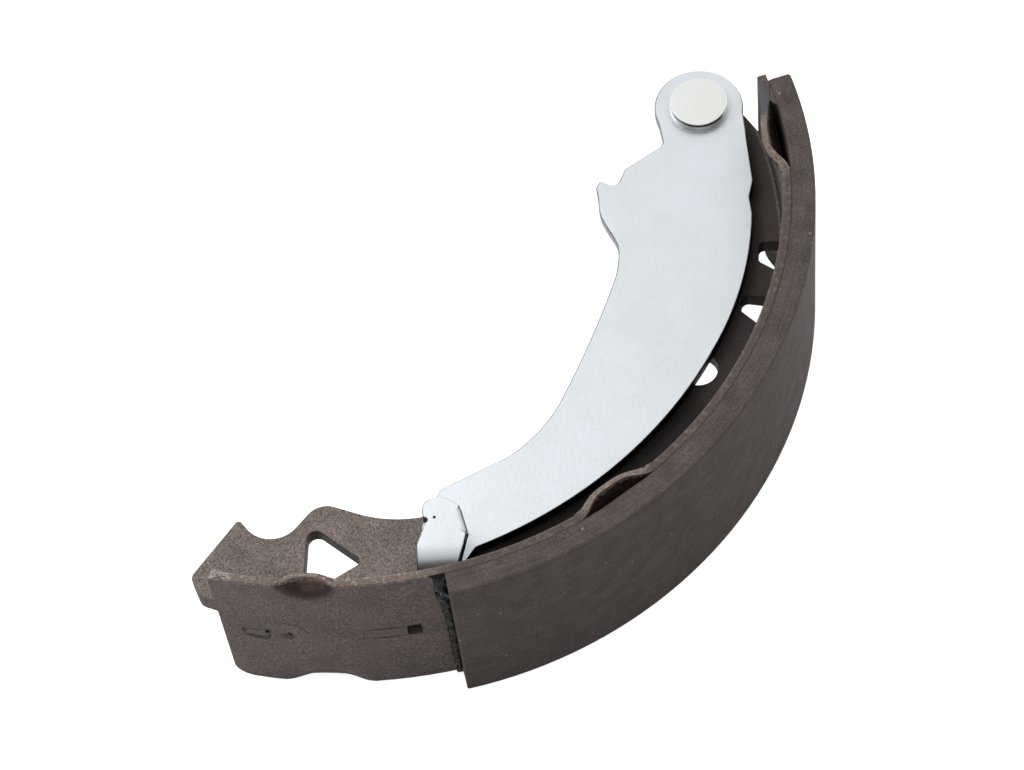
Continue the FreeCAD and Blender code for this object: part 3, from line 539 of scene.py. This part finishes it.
def make_friction(name):
    material, tree, shader, place = start_material(name, 0.0, 0.7, 0.15)
    spread = unroll(tree, place)[3]
    grains = speckle(tree, place, 0.32 * MM, 4)
    clouds = speckle(tree, place, 5 * MM, 5)
    scratches = speckle(tree, spread, 0.35 * MM, 2, (40, 1, 0.7))
    cloudy = remap(tree, clouds, 0.3, 0.7, 0.84, 1.16)
    scratched = remap(tree, scratches, 0.25, 0.75, 0.86, 1.14)
    finish = {"Value": times(tree, cloudy, scratched), "Color": shades(tree, grains, FRICTION_GRAINS)}
    tone = add_node(tree, "HueSaturation", finish).outputs[0]
    upward = facing(tree, place)["Z"]
    # Painted light: the rounded corner, which the light leaves dim, is made paler.
    painted_corner_light = times(tree, remap(tree, upward, 0.05, 0.45), remap(tree, upward, 0.90, 0.995, 0.6, 0.0))
    tone = blend_colors(tree, painted_corner_light, tone, (0.165, 0.138, 0.126))
    for specks in (SMALL_SPECKS, LARGE_SPECKS):
        tone = with_specks(tree, tone, place, *specks)
    tree.links.new(tone, shader.inputs["Base Color"])
    bump(tree, shader, combine(tree, "ADD", grains, times(tree, scratches, 0.5)), 0.035 * MM)
    return material


friction = make_friction("friction_material")
print("friction material: %d nodes" % len(friction.node_tree.nodes))

# %% [markdown]
# ## Bond adhesive and spring steel
#
# The adhesive that squeezes out at the lining's end cures black with a faint sheen, and its highest lumps
# are painted bluish grey as painted highlights. Under the lining the thin film has the colour of the coat.
# The clip and the washer on the hidden side are oiled spring steel.

# %% Make the adhesive and the spring steel
# The bluish grey on the highest lumps is a painted highlight.
ADHESIVE_LUMPS_AND_GLINTS = ((0.54, (0.003, 0.003, 0.003)), (0.62, (0.016, 0.018, 0.022)), (0.70, (0.17, 0.20, 0.23)))
SPRING_STAINS = ((0.3, (0.20, 0.195, 0.19)), (0.7, (0.38, 0.38, 0.39)))


def make_adhesive(name):
    material, tree, shader, place = start_material(name, 0.0, 0.5, 0.10)
    lumps = speckle(tree, place, 0.9 * MM, 4, (1, 1, 4))
    angle = unroll(tree, place)[0]
    under_lining = remap(tree, angle, heel_angle - 0.05, heel_angle + 0.15)
    # The bead's colour carries painted highlights on its highest lumps.
    tone = blend_colors(tree, under_lining, shades(tree, lumps, ADHESIVE_LUMPS_AND_GLINTS), (0.085, 0.068, 0.061))
    tree.links.new(tone, shader.inputs["Base Color"])
    bump(tree, shader, lumps, 0.35 * MM)
    return material


def make_spring_steel(name):
    material, tree, shader, place = start_material(name, 0.9, 0.4)
    stained = shades(tree, speckle(tree, place, 3 * MM, 4), SPRING_STAINS)
    tree.links.new(stained, shader.inputs["Base Color"])
    bump(tree, shader, speckle(tree, place, 0.3 * MM, 3), 0.01 * MM)
    return material


adhesive_black = make_adhesive("bond_adhesive")
spring_steel = make_spring_steel("spring_steel")
print("adhesive: %d nodes, spring steel: %d" % (len(adhesive_black.node_tree.nodes),
                                               len(spring_steel.node_tree.nodes)))

# %% [markdown]
# ## Dressing a sheet-metal piece
#
# A punched plate is flat with a sheared wall, and its edges are never perfectly sharp. The side where
# the punch came in is rolled over by a few tenths of a millimetre, and the far side keeps a crisp edge.
# The engineering model has the exact outline, so the dressed piece starts from a copy of it: its loose
# triangles are welded, its flat faces are made whole again, and then its edges are bevelled.

# %% Helpers that dress a copy of a CAD node
WELD = 0.002 * MM
FLAT = math.radians(0.3)
CORNER = math.radians(32)


def copy_of(node):
    """A bmesh of a CAD node, welded, with whole flat faces."""
    mesh = bmesh.new()
    mesh.from_mesh(frame["nodes"][node].data)
    bmesh.ops.remove_doubles(mesh, verts=mesh.verts, dist=WELD)
    bmesh.ops.dissolve_limit(mesh, angle_limit=FLAT, verts=mesh.verts, edges=mesh.edges)
    return mesh


def corner_edges(mesh, wanted=lambda edge: True):
    """The edges at which the surface turns a corner."""
    return [edge for edge in mesh.edges
            if len(edge.link_faces) == 2 and edge.calc_face_angle() > CORNER and wanted(edge)]


def round_edges(mesh, edges, radius, segments=3, material=-1):
    bmesh.ops.bevel(mesh, geom=edges, offset=radius, offset_type="OFFSET", affect="EDGES", segments=segments,
                    profile=0.5, material=material, clamp_overlap=False)


def show(mesh, name, node, materials):
    """Turns a bmesh into the piece that stands for a CAD node, on the same body."""
    data = bpy.data.meshes.new(name)
    mesh.to_mesh(data)
    mesh.free()
    for material in materials:
        data.materials.append(material)
    data.shade_smooth()
    data.set_sharp_from_angle(angle=CORNER)
    piece = bpy.data.objects.new(name, data)
    bpy.context.scene.collection.objects.link(piece)
    normals = piece.modifiers.new("flat faces stay flat", "WEIGHTED_NORMAL")
    normals.keep_sharp = True
    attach(piece, frame["nodes"][node]["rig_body"])
    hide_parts(node)
    print("%s: %d faces" % (name, len(data.polygons)))


# %% [markdown]
# ## Cutting small marks
#
# A tool mark is a small piece of metal that's gone, so it is cut and not painted: a cutter of the tool's
# shape is placed on the surface and subtracted. A ray that is shot at the surface finds the place and the
# direction, so that a mark always starts on the metal, wherever the bend puts it. What was added, such as
# weld metal or a flash, is a small block that stands over an outline.

# %% Helpers that find a place and add a small shape
def polar(radius, angle, height=0.0):
    return Vector((radius * math.cos(math.radians(angle)), radius * math.sin(math.radians(angle)), height))


def arc_points(radius, start, end, steps=12):
    return [polar(radius, start + (end - start) * step / steps) for step in range(steps + 1)]


def surface_at(tree, angle, height):
    """The place on the outer face at an angle and a height, and the way out of the metal."""
    start = polar(drum_radius * 1.3, angle, height)
    place, normal, _, _ = tree.ray_cast(start, Vector((-start.x, -start.y, 0)))
    return place, normal


def turn_to(mesh, verts, along):
    """Turns new points that stand along Z into another direction."""
    turn = along.to_track_quat("Z", "Y").to_matrix()
    bmesh.ops.rotate(mesh, verts=verts, cent=(0, 0, 0), matrix=turn)


def add_ball(mesh, center, radius, flattening=1.0, along=Vector((0, 0, 1))):
    """A ball, flattened along a direction."""
    made = bmesh.ops.create_icosphere(mesh, subdivisions=3, radius=radius)["verts"]
    bmesh.ops.scale(mesh, verts=made, vec=(1, 1, flattening))
    turn_to(mesh, made, along)
    bmesh.ops.translate(mesh, verts=made, vec=center)


def add_rod(mesh, first, last, radius):
    """A thin rod from one place to another, and its points."""
    made = bmesh.ops.create_cone(mesh, cap_ends=True, segments=12, radius1=radius, radius2=radius,
                                 depth=(last - first).length)["verts"]
    turn_to(mesh, made, last - first)
    bmesh.ops.translate(mesh, verts=made, vec=(first + last) / 2)
    return made


def add_prism(mesh, outline, bottom, top):
    """A solid that stands over an outline in the plane of the drum."""
    base = mesh.faces.new([mesh.verts.new((point.x, point.y, bottom)) for point in outline])
    grown = bmesh.ops.extrude_face_region(mesh, geom=[base])["geom"]
    raised = [part for part in grown if isinstance(part, bmesh.types.BMVert)]
    bmesh.ops.translate(mesh, verts=raised, vec=(0, 0, top - bottom))
    sides = {face for vertex in raised for face in vertex.link_faces}
    bmesh.ops.recalc_face_normals(mesh, faces=list(sides | {base}))


def add_arc_block(mesh, inner, outer, angles, bottom, top):
    """A block between two radii, two angles and two heights."""
    add_prism(mesh, arc_points(inner, *angles) + arc_points(outer, *angles)[::-1], bottom, top)


# %% [markdown]
# The exact boolean leaves a closed mesh, but it works on objects. Both shapes become objects for a moment,
# and the result comes back as a bmesh. Shapes that only meet or overlap are put together as they are.

# %% Helpers that join and subtract shapes
def add_shape(mesh, other):
    """Puts a second bmesh into the first."""
    data = bpy.data.meshes.new("addition")
    other.to_mesh(data)
    other.free()
    mesh.from_mesh(data)
    bpy.data.meshes.remove(data)


def carve(mesh, cutter):
    """Subtracts a bmesh from a bmesh."""
    pair = []
    for shape in (mesh, cutter):
        data = bpy.data.meshes.new("carving")
        shape.to_mesh(data)
        shape.free()
        pair.append(bpy.data.objects.new("carving", data))
        bpy.context.scene.collection.objects.link(pair[-1])
    blade = pair[0].modifiers.new("carve", "BOOLEAN")
    blade.operation = "DIFFERENCE"
    blade.solver = "EXACT"
    blade.object = pair[1]
    carved = bpy.data.meshes.new_from_object(pair[0].evaluated_get(bpy.context.evaluated_depsgraph_get()))
    result = bmesh.new()
    result.from_mesh(carved)
    for used in pair:
        data = used.data
        bpy.data.objects.remove(used)
        bpy.data.meshes.remove(data)
    bpy.data.meshes.remove(carved)
    return result


# %% [markdown]
# ## The rim
#
# The rim is a two-millimetre strip. Both of its long edges are pressed inwards at three places, and these
# dents keep the shoe from wandering along the drum axis. The web's tabs stick in two slots of the rim and
# are welded. The weld and the coat have filled the play round the first one, so a plug with a hair's
# breadth of play fills that slot, and only a faint seam is left to see. The plug stays a shape of its own
# until the marks are cut, because a cut is surest on one closed shape.

# %% Fill the first slot
FIRST_SLOT = (-106.05, -101.75)
SLOT_HEIGHTS = (20.9 * MM, 25.1 * MM)
SEAM = 0.06 * MM
PLUG_DEPTHS = (1.8 * MM, 0.05 * MM)
ABOVE_SLOT = SLOT_HEIGHTS[1] + 2 * MM

rim = copy_of("shoe_rim")
outer_face = BVHTree.FromBMesh(rim)


def face_line(start, end, depth, steps=8):
    """Points on a line across the outer face just above the first slot, at a depth under the surface."""
    line = []
    for step in range(steps + 1):
        place, outward = surface_at(outer_face, start + (end - start) * step / steps, ABOVE_SLOT)
        line.append(place - outward * depth)
    return line


play = math.degrees(SEAM / lining_inner)
plug_start, plug_end = FIRST_SLOT[0] + play, FIRST_SLOT[1] - play
deep_line = face_line(plug_start, plug_end, PLUG_DEPTHS[0])
shallow_line = face_line(plug_end, plug_start, PLUG_DEPTHS[1])
plug = bmesh.new()
add_prism(plug, deep_line + shallow_line, SLOT_HEIGHTS[0] + SEAM, SLOT_HEIGHTS[1] - SEAM)
print("plug %.1f mm long" % ((deep_line[0] - deep_line[-1]).length / MM))

# %% [markdown]
# Beside that tab are two small pits, one of them in a shallow dish, and a curved ridge line. The dish is
# cut with a flattened ball, the line with thin rods laid end to end, and the pits with short rods that go
# in through the face. One pit bites into the plug and the tab too, so the same cutter serves all three.

# %% Cut the dish, the line and the pits
DISH_RADIUS = 1.7 * MM
DISH_FLATTENING = 0.16
RIDGE = ((-100.9, 28.5), (-99.9, 28.6), (-99.0, 28.2), (-98.1, 27.7), (-97.2, 26.2), (-96.6, 23.8))
RIDGE_WIDTH = 0.30 * MM
PIT_DEPTH = 1.5 * MM


def pit_cutter():
    """The rods that cut the two pits, which reach into the tab as well as into the rim."""
    cutter = bmesh.new()
    for angle, height, size in PITS:
        place, outward = surface_at(outer_face, angle, ABOVE_SLOT)
        place.z = height * MM
        rod = add_rod(cutter, place - outward * PIT_DEPTH, place + outward * PIT_DEPTH, size * MM)
        bmesh.ops.scale(cutter, verts=rod, vec=(1, 1, PIT_TALL), space=Matrix.Translation(-place))
    return cutter


faces_before = len(rim.faces)
dish = bmesh.new()
dish_middle, dish_outward = surface_at(outer_face, DISH[0], DISH[1] * MM)
add_ball(dish, dish_middle, DISH_RADIUS, DISH_FLATTENING, dish_outward)
rim = carve(rim, dish)
ridge_points = [surface_at(outer_face, angle, height * MM)[0] for angle, height in RIDGE]
for first, last in zip(ridge_points, ridge_points[1:]):
    stroke = bmesh.new()
    add_rod(stroke, first, last, RIDGE_WIDTH / 2)
    rim = carve(rim, stroke)
rim = carve(rim, pit_cutter())
add_shape(rim, carve(plug, pit_cutter()))
print("the marks and the plug add %d faces to the rim" % (len(rim.faces) - faces_before))

# %% [markdown]
# The strip is cut from coil, so its long edges are rolled over on the side that the shears came from,
# which is the side of the drum's axis, and crisp on the other.

# %% Round the rim's long edges
ROLLED = 0.7 * MM
CRISP = 0.2 * MM


def is_long_edge(edge):
    """Whether an edge runs along the strip's upper or lower side."""
    middle = (edge.verts[0].co.z + edge.verts[1].co.z) / 2
    return edge.calc_length() > 0.5 * MM and min(rim_top - middle, middle - rim_bottom) < 4 * MM


def faces_axis(edge):
    """Whether one of an edge's faces looks towards the drum's axis."""
    place = edge.verts[0].co
    outward = Vector((place.x, place.y, 0)).normalized()
    return any(face.normal.dot(outward) < -0.6 for face in edge.link_faces)


round_edges(rim, corner_edges(rim, lambda edge: is_long_edge(edge) and faces_axis(edge)), ROLLED)
round_edges(rim, corner_edges(rim, lambda edge: is_long_edge(edge) and not faces_axis(edge)), CRISP, 2)
show(rim, "shoe_rim_strip", "shoe_rim", [rim_steel])

# %% [markdown]
# ## The web
#
# The web is blanked from four-millimetre plate. Its upper edges show the roll of the punch; the wall of
# each hole is sheared and dark. The ends of its tabs lie flush in the rim's slots, so there the rounding is
# small. A block closes the open end of the second slot from behind and is painted dark, as painted shade
# for the hole, and a little weld metal fills its other end.

# %% Dress the web
TAB_ENDS = lining_inner - 1.2 * MM
SLOT_SHADE_BLOCK = (-84.2, -81.6)
WELD_END = (-90.0, -89.4)


def edge_radius(edge):
    middle = (edge.verts[0].co + edge.verts[1].co) / 2
    return math.hypot(middle.x, middle.y)


web = carve(copy_of("shoe_web"), pit_cutter())
tab_edges = corner_edges(web, lambda edge: edge_radius(edge) > TAB_ENDS and edge.calc_length() > 0.5 * MM)
round_edges(web, tab_edges, 0.05 * MM, 1)
plate_edges = corner_edges(web, lambda edge: edge_radius(edge) < TAB_ENDS)
round_edges(web, plate_edges, 0.3 * MM)
# Painted shade: a block closes the second slot's open end, where the hole would be in shade, and the stain
# there paints it dark.
add_arc_block(web, lining_inner - 4.2 * MM, lining_inner - 1.9 * MM, SLOT_SHADE_BLOCK, web_bottom - 0.4 * MM,
              web_top + 0.6 * MM)
add_arc_block(web, lining_inner - 1.8 * MM, lining_inner - 0.03 * MM, WELD_END, web_bottom + 0.05 * MM,
              web_top - 0.05 * MM)
show(web, "shoe_web_plate", "shoe_web", [web_steel])

# %% [markdown]
# ## The friction lining
#
# The block is moulded and ground. Its outer edges are worn round, and small crumbs have broken out of
# them: each crumb is a ball that is roughened with smooth noise before it is cut away. At the toe end the
# moulding compound has squeezed in between the lining and the rim and closes the end of the gap. At the
# middle dent a thin flash bridges the hollow with a straight edge.

# %% Dress the lining
TOE_PLUG = ((94.98, 16.75), (94.2, 16.75), (93.6, 15.0), (93.4, 13.8), (94.0, 13.2), (94.98, 12.6))
FLASH = (-58.3, -47.5)
CRUMBS = ((97.2, 16.95, 46.1, 0.35), (95.1, 16.9, 46.1, 0.45), (100.1, 11.0, 46.2, 0.5),
          (100.1, -8.0, 46.2, 0.6), (100.1, -31.0, 46.2, 0.5), (100.1, -47.0, 46.2, 0.6),
          (100.1, -66.0, 46.2, 0.5), (100.1, -77.9, 46.1, 0.7), (100.1, -20.0, -0.2, 0.6),
          (100.1, -60.0, -0.2, 0.6), (100.0, 16.8, -0.1, 0.7))
BORDER = (lining_inner + drum_radius) / 2 - 1 * MM

lining = copy_of("friction_lining")
inner_edges = corner_edges(lining, lambda edge: edge_radius(edge) < BORDER)
outer_edges = corner_edges(lining, lambda edge: edge_radius(edge) > BORDER)
round_edges(lining, inner_edges, 0.05 * MM, 1)
round_edges(lining, [edge for edge in outer_edges if edge.is_valid], 0.55 * MM)
crumbs = bmesh.new()
for radius, angle, height, size in CRUMBS:
    add_ball(crumbs, polar(radius * MM, angle, height * MM), size * MM)
for vertex in crumbs.verts:
    vertex.co += vertex.normal * noise.noise(vertex.co / (0.5 * MM)) * 0.25 * MM
lining = carve(lining, crumbs)
toe_outline = [polar(radius * MM, angle) for radius, angle in TOE_PLUG]
add_prism(lining, toe_outline, rim_top - 10 * MM, rim_top - 0.3 * MM)
add_prism(lining, arc_points(lining_inner + 0.05 * MM, *FLASH), rim_top - 3 * MM, rim_top - 0.1 * MM)
show(lining, "friction_block", "friction_lining", [friction])

# %% [markdown]
# ## The bond
#
# The film fills the joint flush with both faces, and stops just short of the lining's end. There the
# adhesive has squeezed out and set as an uneven black bead, widest at the top. The bead starts as a plain
# rod that is cut into many rings, and then every ring is widened and every point is pushed about by
# smooth noise.

# %% Dress the bond
FILM_END = heel_angle - 0.05
BEAD_RINGS = 90

film = copy_of("lining_adhesive")
for vertex in film.verts:
    if math.atan2(vertex.co.y, vertex.co.x) < lining_heel - 0.001:
        vertex.co.xy = polar(min(vertex.co.xy.length, lining_inner), FILM_END).xy
    share = (vertex.co.z - film_bottom) / (film_top - film_bottom)
    vertex.co.z = rim_bottom + 0.02 * MM + share * (rim_top - rim_bottom - 0.12 * MM)

bead = bmesh.new()
bmesh.ops.create_cone(bead, cap_ends=True, segments=24, radius1=1, radius2=1, depth=1)
upright = [edge for edge in bead.edges if abs(edge.verts[0].co.z - edge.verts[1].co.z) > 0.5]
bmesh.ops.subdivide_edges(bead, edges=upright, cuts=BEAD_RINGS, use_grid_fill=True)
for vertex in bead.verts:
    up = vertex.co.z + 0.5
    width = (0.9 + 0.4 * up + 0.6 * max(0, up - 0.55) / 0.45) * MM
    center = polar(lining_inner - 0.1 * MM, heel_angle - math.degrees(width * 0.45 / lining_inner),
                   rim_bottom + 0.3 * MM + up * (rim_top - rim_bottom - 0.6 * MM))
    outward = Vector((center.x, center.y, 0)).normalized()
    along = Vector((-outward.y, outward.x, 0))
    reach = along * vertex.co.x * width + outward * vertex.co.y * (0.8 + 0.5 * up) * MM
    lump = noise.noise((center + reach) / (1.5 * MM)) + 0.5 * noise.noise((center + reach) / (0.6 * MM))
    vertex.co = center + reach * (1 + 0.45 * lump)
bmesh.ops.recalc_face_normals(bead, faces=bead.faces)
add_shape(film, bead)
show(film, "bond_film", "lining_adhesive", [adhesive_black])

# %% [markdown]
# ## The handbrake lever
#
# The lever is one strip of three-millimetre steel. Its lower end was folded back over itself to make the
# hook for the cable, and the strip was narrower there, so the flap tapers into the fold. The nib on its
# inner edge, which rests on the web, is fuller than the engineering model has it, so its edges are cut
# into short ones and pushed out in a smooth hump.

# %% Taper the fold and fill out the nib
WIDER = 1.0 * MM
NARROWER = 0.9 * MM
NIB_LEFT_OF = 57.5 * MM
NIB_MIDDLE = 4.0
NIB_HALF = 8.2
NIB_PUSH = 1.7 * MM

lever = copy_of("handbrake_lever")
fold_radius = (hook_top - lever_bottom) / 2
fold_front = min(vertex.co.y for vertex in lever.verts)
fold_start = fold_front + fold_radius
hook_right = max(vertex.co.x for vertex in lever.verts if vertex.co.y < fold_front + 0.5 * MM)
for vertex in lever.verts:
    on_right = abs(vertex.co.x - hook_right) < 0.05 * MM and vertex.co.y < fold_start + 0.6 * MM
    round_fold = min(max((fold_start - vertex.co.y) / fold_radius, 0), 1)
    if on_right and vertex.co.z > lever_bottom + fold_radius:
        vertex.co.x += WIDER - (WIDER + NARROWER) * round_fold
    elif on_right:
        vertex.co.x -= NARROWER * round_fold


def nib_reach(vertex):
    """How far a point is from the nib's middle, as a share of the nib's half length."""
    return (vertex.co.y / MM - NIB_MIDDLE) / NIB_HALF


def on_nib(edge):
    """Whether a level edge of some length lies on the nib."""
    level = abs(edge.verts[0].co.z - edge.verts[1].co.z) < 0.1 * MM
    return level and edge.calc_length() > MM and all(
        vertex.co.x < NIB_LEFT_OF and abs(nib_reach(vertex)) < 1 for vertex in edge.verts)


nib_edges = [edge for edge in lever.edges if on_nib(edge)]
print("%d edges along the nib" % len(nib_edges))
bmesh.ops.subdivide_edges(lever, edges=nib_edges, cuts=7, use_grid_fill=True)
for vertex in lever.verts:
    reach = nib_reach(vertex)
    if vertex.co.x < NIB_LEFT_OF and abs(reach) < 1:
        vertex.co.x -= NIB_PUSH * (1 - reach * reach) ** 2

# %% [markdown]
# The strip was punched from above, so its upper edges are rolled and its walls are sheared. The walls that
# look to the front or to the right are told from the other faces by their directions and get the dark zinc,
# which is painted shade. The flap's right side has a wide bevel, where the strip was trimmed, and near its
# front is a small dimple from the folding tool.

# %% Tell the walls from the faces, and round the edges
BEVEL_REACH = (fold_start + MM, fold_start + 9 * MM)
BEVEL_LEFT = hook_right - 4 * MM
DIMPLE = Vector((16.7, -75.4, 38.0)) * MM

# Painted shade: the walls that look to the front or to the right get the dark zinc.
for face in lever.faces:
    in_fold = face.calc_center_median().y < fold_start and abs(face.normal.x) < 0.5
    to_camera = face.normal.y < 0.3 and face.normal.x > -0.5
    face.material_index = int(abs(face.normal.z) < 0.5 and to_camera and not in_fold)


def on_flap_right(edge):
    """Whether an edge runs along the upper right side of the flap."""
    return all(vertex.co.z > hook_top - 0.1 * MM and vertex.co.x > BEVEL_LEFT
               and BEVEL_REACH[0] < vertex.co.y < BEVEL_REACH[1] for vertex in edge.verts)


flap_right = corner_edges(lever, on_flap_right)
print("%d edges of the flap's right side" % len(flap_right))
round_edges(lever, flap_right, 1.1 * MM, 3, 0)
round_edges(lever, corner_edges(lever), 0.4 * MM)
dimple = bmesh.new()
add_rod(dimple, DIMPLE - Vector((0, 0, MM)), DIMPLE + Vector((0, 0, MM)), 0.36 * MM)
lever = carve(lever, dimple)
show(lever, "handbrake_lever_plated", "handbrake_lever", [zinc, shaded_wall_zinc])

# %% [markdown]
# ## The pivot pin
#
# The pin is a turned part, so its head is made as a lathe makes it: a half section is spun round the axis.
# The head is slightly domed, with a turned groove that parts the flat top from the collar below it. The
# shank with its clip groove is kept from the engineering model, cut off just under the head. The section
# gives a distance from the axis and a depth under the top, in millimetres.

# %% Turn the pin's head
HEAD_SECTION = ((0, 0), (3.5, -0.01), (5.9, -0.03), (6.4, -0.07), (6.5, -0.19), (6.36, -0.28), (6.36, -1.02),
                (6.48, -1.12), (6.5, -1.5), (6.42, -2.0), (0, -2.0))
GROOVE = (-0.19, -1.02)
SPIN_STEPS = 96

pin = copy_of("pivot_pin")
shank_top = pin_top + HEAD_SECTION[-1][1] * MM - 0.02 * MM
cut = bmesh.ops.bisect_plane(pin, geom=pin.verts[:] + pin.edges[:] + pin.faces[:], plane_co=(0, 0, shank_top),
                             plane_no=(0, 0, 1), clear_outer=True)["geom_cut"]
bmesh.ops.contextual_create(pin, geom=[part for part in cut if isinstance(part, bmesh.types.BMEdge)])
head = bmesh.new()
section = [head.verts.new((pivot.x + reach * MM, pivot.y, pin_top + depth * MM))
           for reach, depth in HEAD_SECTION]
chain = [head.edges.new(pair) for pair in zip(section, section[1:])]
bmesh.ops.spin(head, geom=section + chain, cent=pivot, axis=(0, 0, 1), angle=math.tau, steps=SPIN_STEPS,
               use_merge=True)
bmesh.ops.remove_doubles(head, verts=head.verts, dist=WELD)
bmesh.ops.recalc_face_normals(head, faces=head.faces)
# The groove's faces get the dark zinc, as painted shade in the groove.
for face in head.faces:
    depth = (face.calc_center_median().z - pin_top) / MM
    face.material_index = int(GROOVE[1] < depth < GROOVE[0])
add_shape(pin, head)
show(pin, "pivot_pin_turned", "pivot_pin", [pin_zinc, shaded_wall_zinc])

# %% [markdown]
# ## Washer and clip
#
# A wavy washer and a horseshoe clip hold the lever from behind. Both are stamped from thin spring steel,
# whose edges are so fine that the copies of their solids need no rounding.

# %% Dress the washer and the clip
for node, name in (("wave_washer", "wave_washer_spring"), ("retaining_clip", "retaining_clip_spring")):
    show(copy_of(node), name, node, [spring_steel])

# %% [markdown]
# ## Floor and light
#
# The shoe lies on a plain white floor under one broad soft lamp and an even white room. The floor looks
# white to the camera and in reflections, while the light that it sheds stays at a plain level.

# %% Build the floor
FLOOR_HALF = 3.0
FLOOR_WHITE = 0.86


def white_to_the_eye(tree, bright):
    """A value that is bright to the camera, in reflections and through glass, and nothing to other rays."""
    rays = add_node(tree, "LightPath").outputs
    seen = largest(tree, [rays["Is Camera Ray"], rays["Is Glossy Ray"], rays["Is Transmission Ray"]])
    return add_node(tree, "MapRange", {"Value": seen, "To Min": 0.0, "To Max": bright}).outputs["Result"]


floor_mesh = bmesh.new()
bmesh.ops.create_grid(floor_mesh, x_segments=1, y_segments=1, size=FLOOR_HALF)
floor_data = bpy.data.meshes.new("floor")
floor_mesh.to_mesh(floor_data)
floor_mesh.free()
floor = bpy.data.objects.new("floor", floor_data)
floor.location.z = rim_bottom - 0.05 * MM
bpy.context.scene.collection.objects.link(floor)
floor_paint, floor_tree, floor_shader, _ = start_material("floor_white", 0.0, 0.9)
floor_shader.inputs["Base Color"].default_value = (FLOOR_WHITE, FLOOR_WHITE, FLOOR_WHITE, 1)
floor_shader.inputs["Emission Color"].default_value = (1, 1, 1, 1)
floor_tree.links.new(white_to_the_eye(floor_tree, FLOOR_WHITE), floor_shader.inputs["Emission Strength"])
floor_data.materials.append(floor_paint)
print("floor at %.2f mm" % (floor.location.z / MM))

# %% [markdown]
# The room is brighter overhead and behind the shoe than on the camera's side. That is what makes the
# lever's flat face bright while its walls, which look towards the camera, stay dark. In a reflection the
# dim side is a little brighter than it is as a light, so that the plating isn't dull from behind.

# %% Light the room
ROOM_BRIGHT = 0.90
ROOM_DIM = 0.08
ROOM_SHEEN = 0.40
LAMP_PLACE = (-0.65, 0.40, 0.80)
LAMP_AIM = Vector((0.03, -0.03, 0.02))
bright_side = Vector((-0.20, 0.70, 0.68)).normalized()

world = bpy.data.worlds.new("room")
world.use_nodes = True
room = world.node_tree
sky = room.nodes["Background"]
sky.inputs["Color"].default_value = (1, 1, 1, 1)
ways = {0: room.nodes.new("ShaderNodeTexCoord").outputs["Generated"], 1: bright_side}
toward = add_node(room, "VectorMath", ways, operation="DOT_PRODUCT").outputs["Value"]
mirrored = add_node(room, "LightPath").outputs["Is Glossy Ray"]
dim_ends = {"Value": mirrored, "To Min": ROOM_DIM, "To Max": ROOM_SHEEN}
dim = add_node(room, "MapRange", dim_ends).outputs["Result"]
room.links.new(remap(room, toward, -0.3, 1.0, dim, ROOM_BRIGHT), sky.inputs["Strength"])
bpy.context.scene.world = world

lamp = bpy.data.objects.new("softbox", bpy.data.lights.new("softbox", "AREA"))
lamp.data.shape = "RECTANGLE"
lamp.data.size = 0.7
lamp.data.size_y = 0.7
lamp.data.energy = 6
lamp.location = LAMP_PLACE
lamp.rotation_euler = (lamp.location - LAMP_AIM).to_track_quat("Z", "Y").to_euler()
bpy.context.scene.collection.objects.link(lamp)
bpy.context.scene.view_settings.view_transform = "Standard"
print("softbox of %.0f W" % lamp.data.energy)
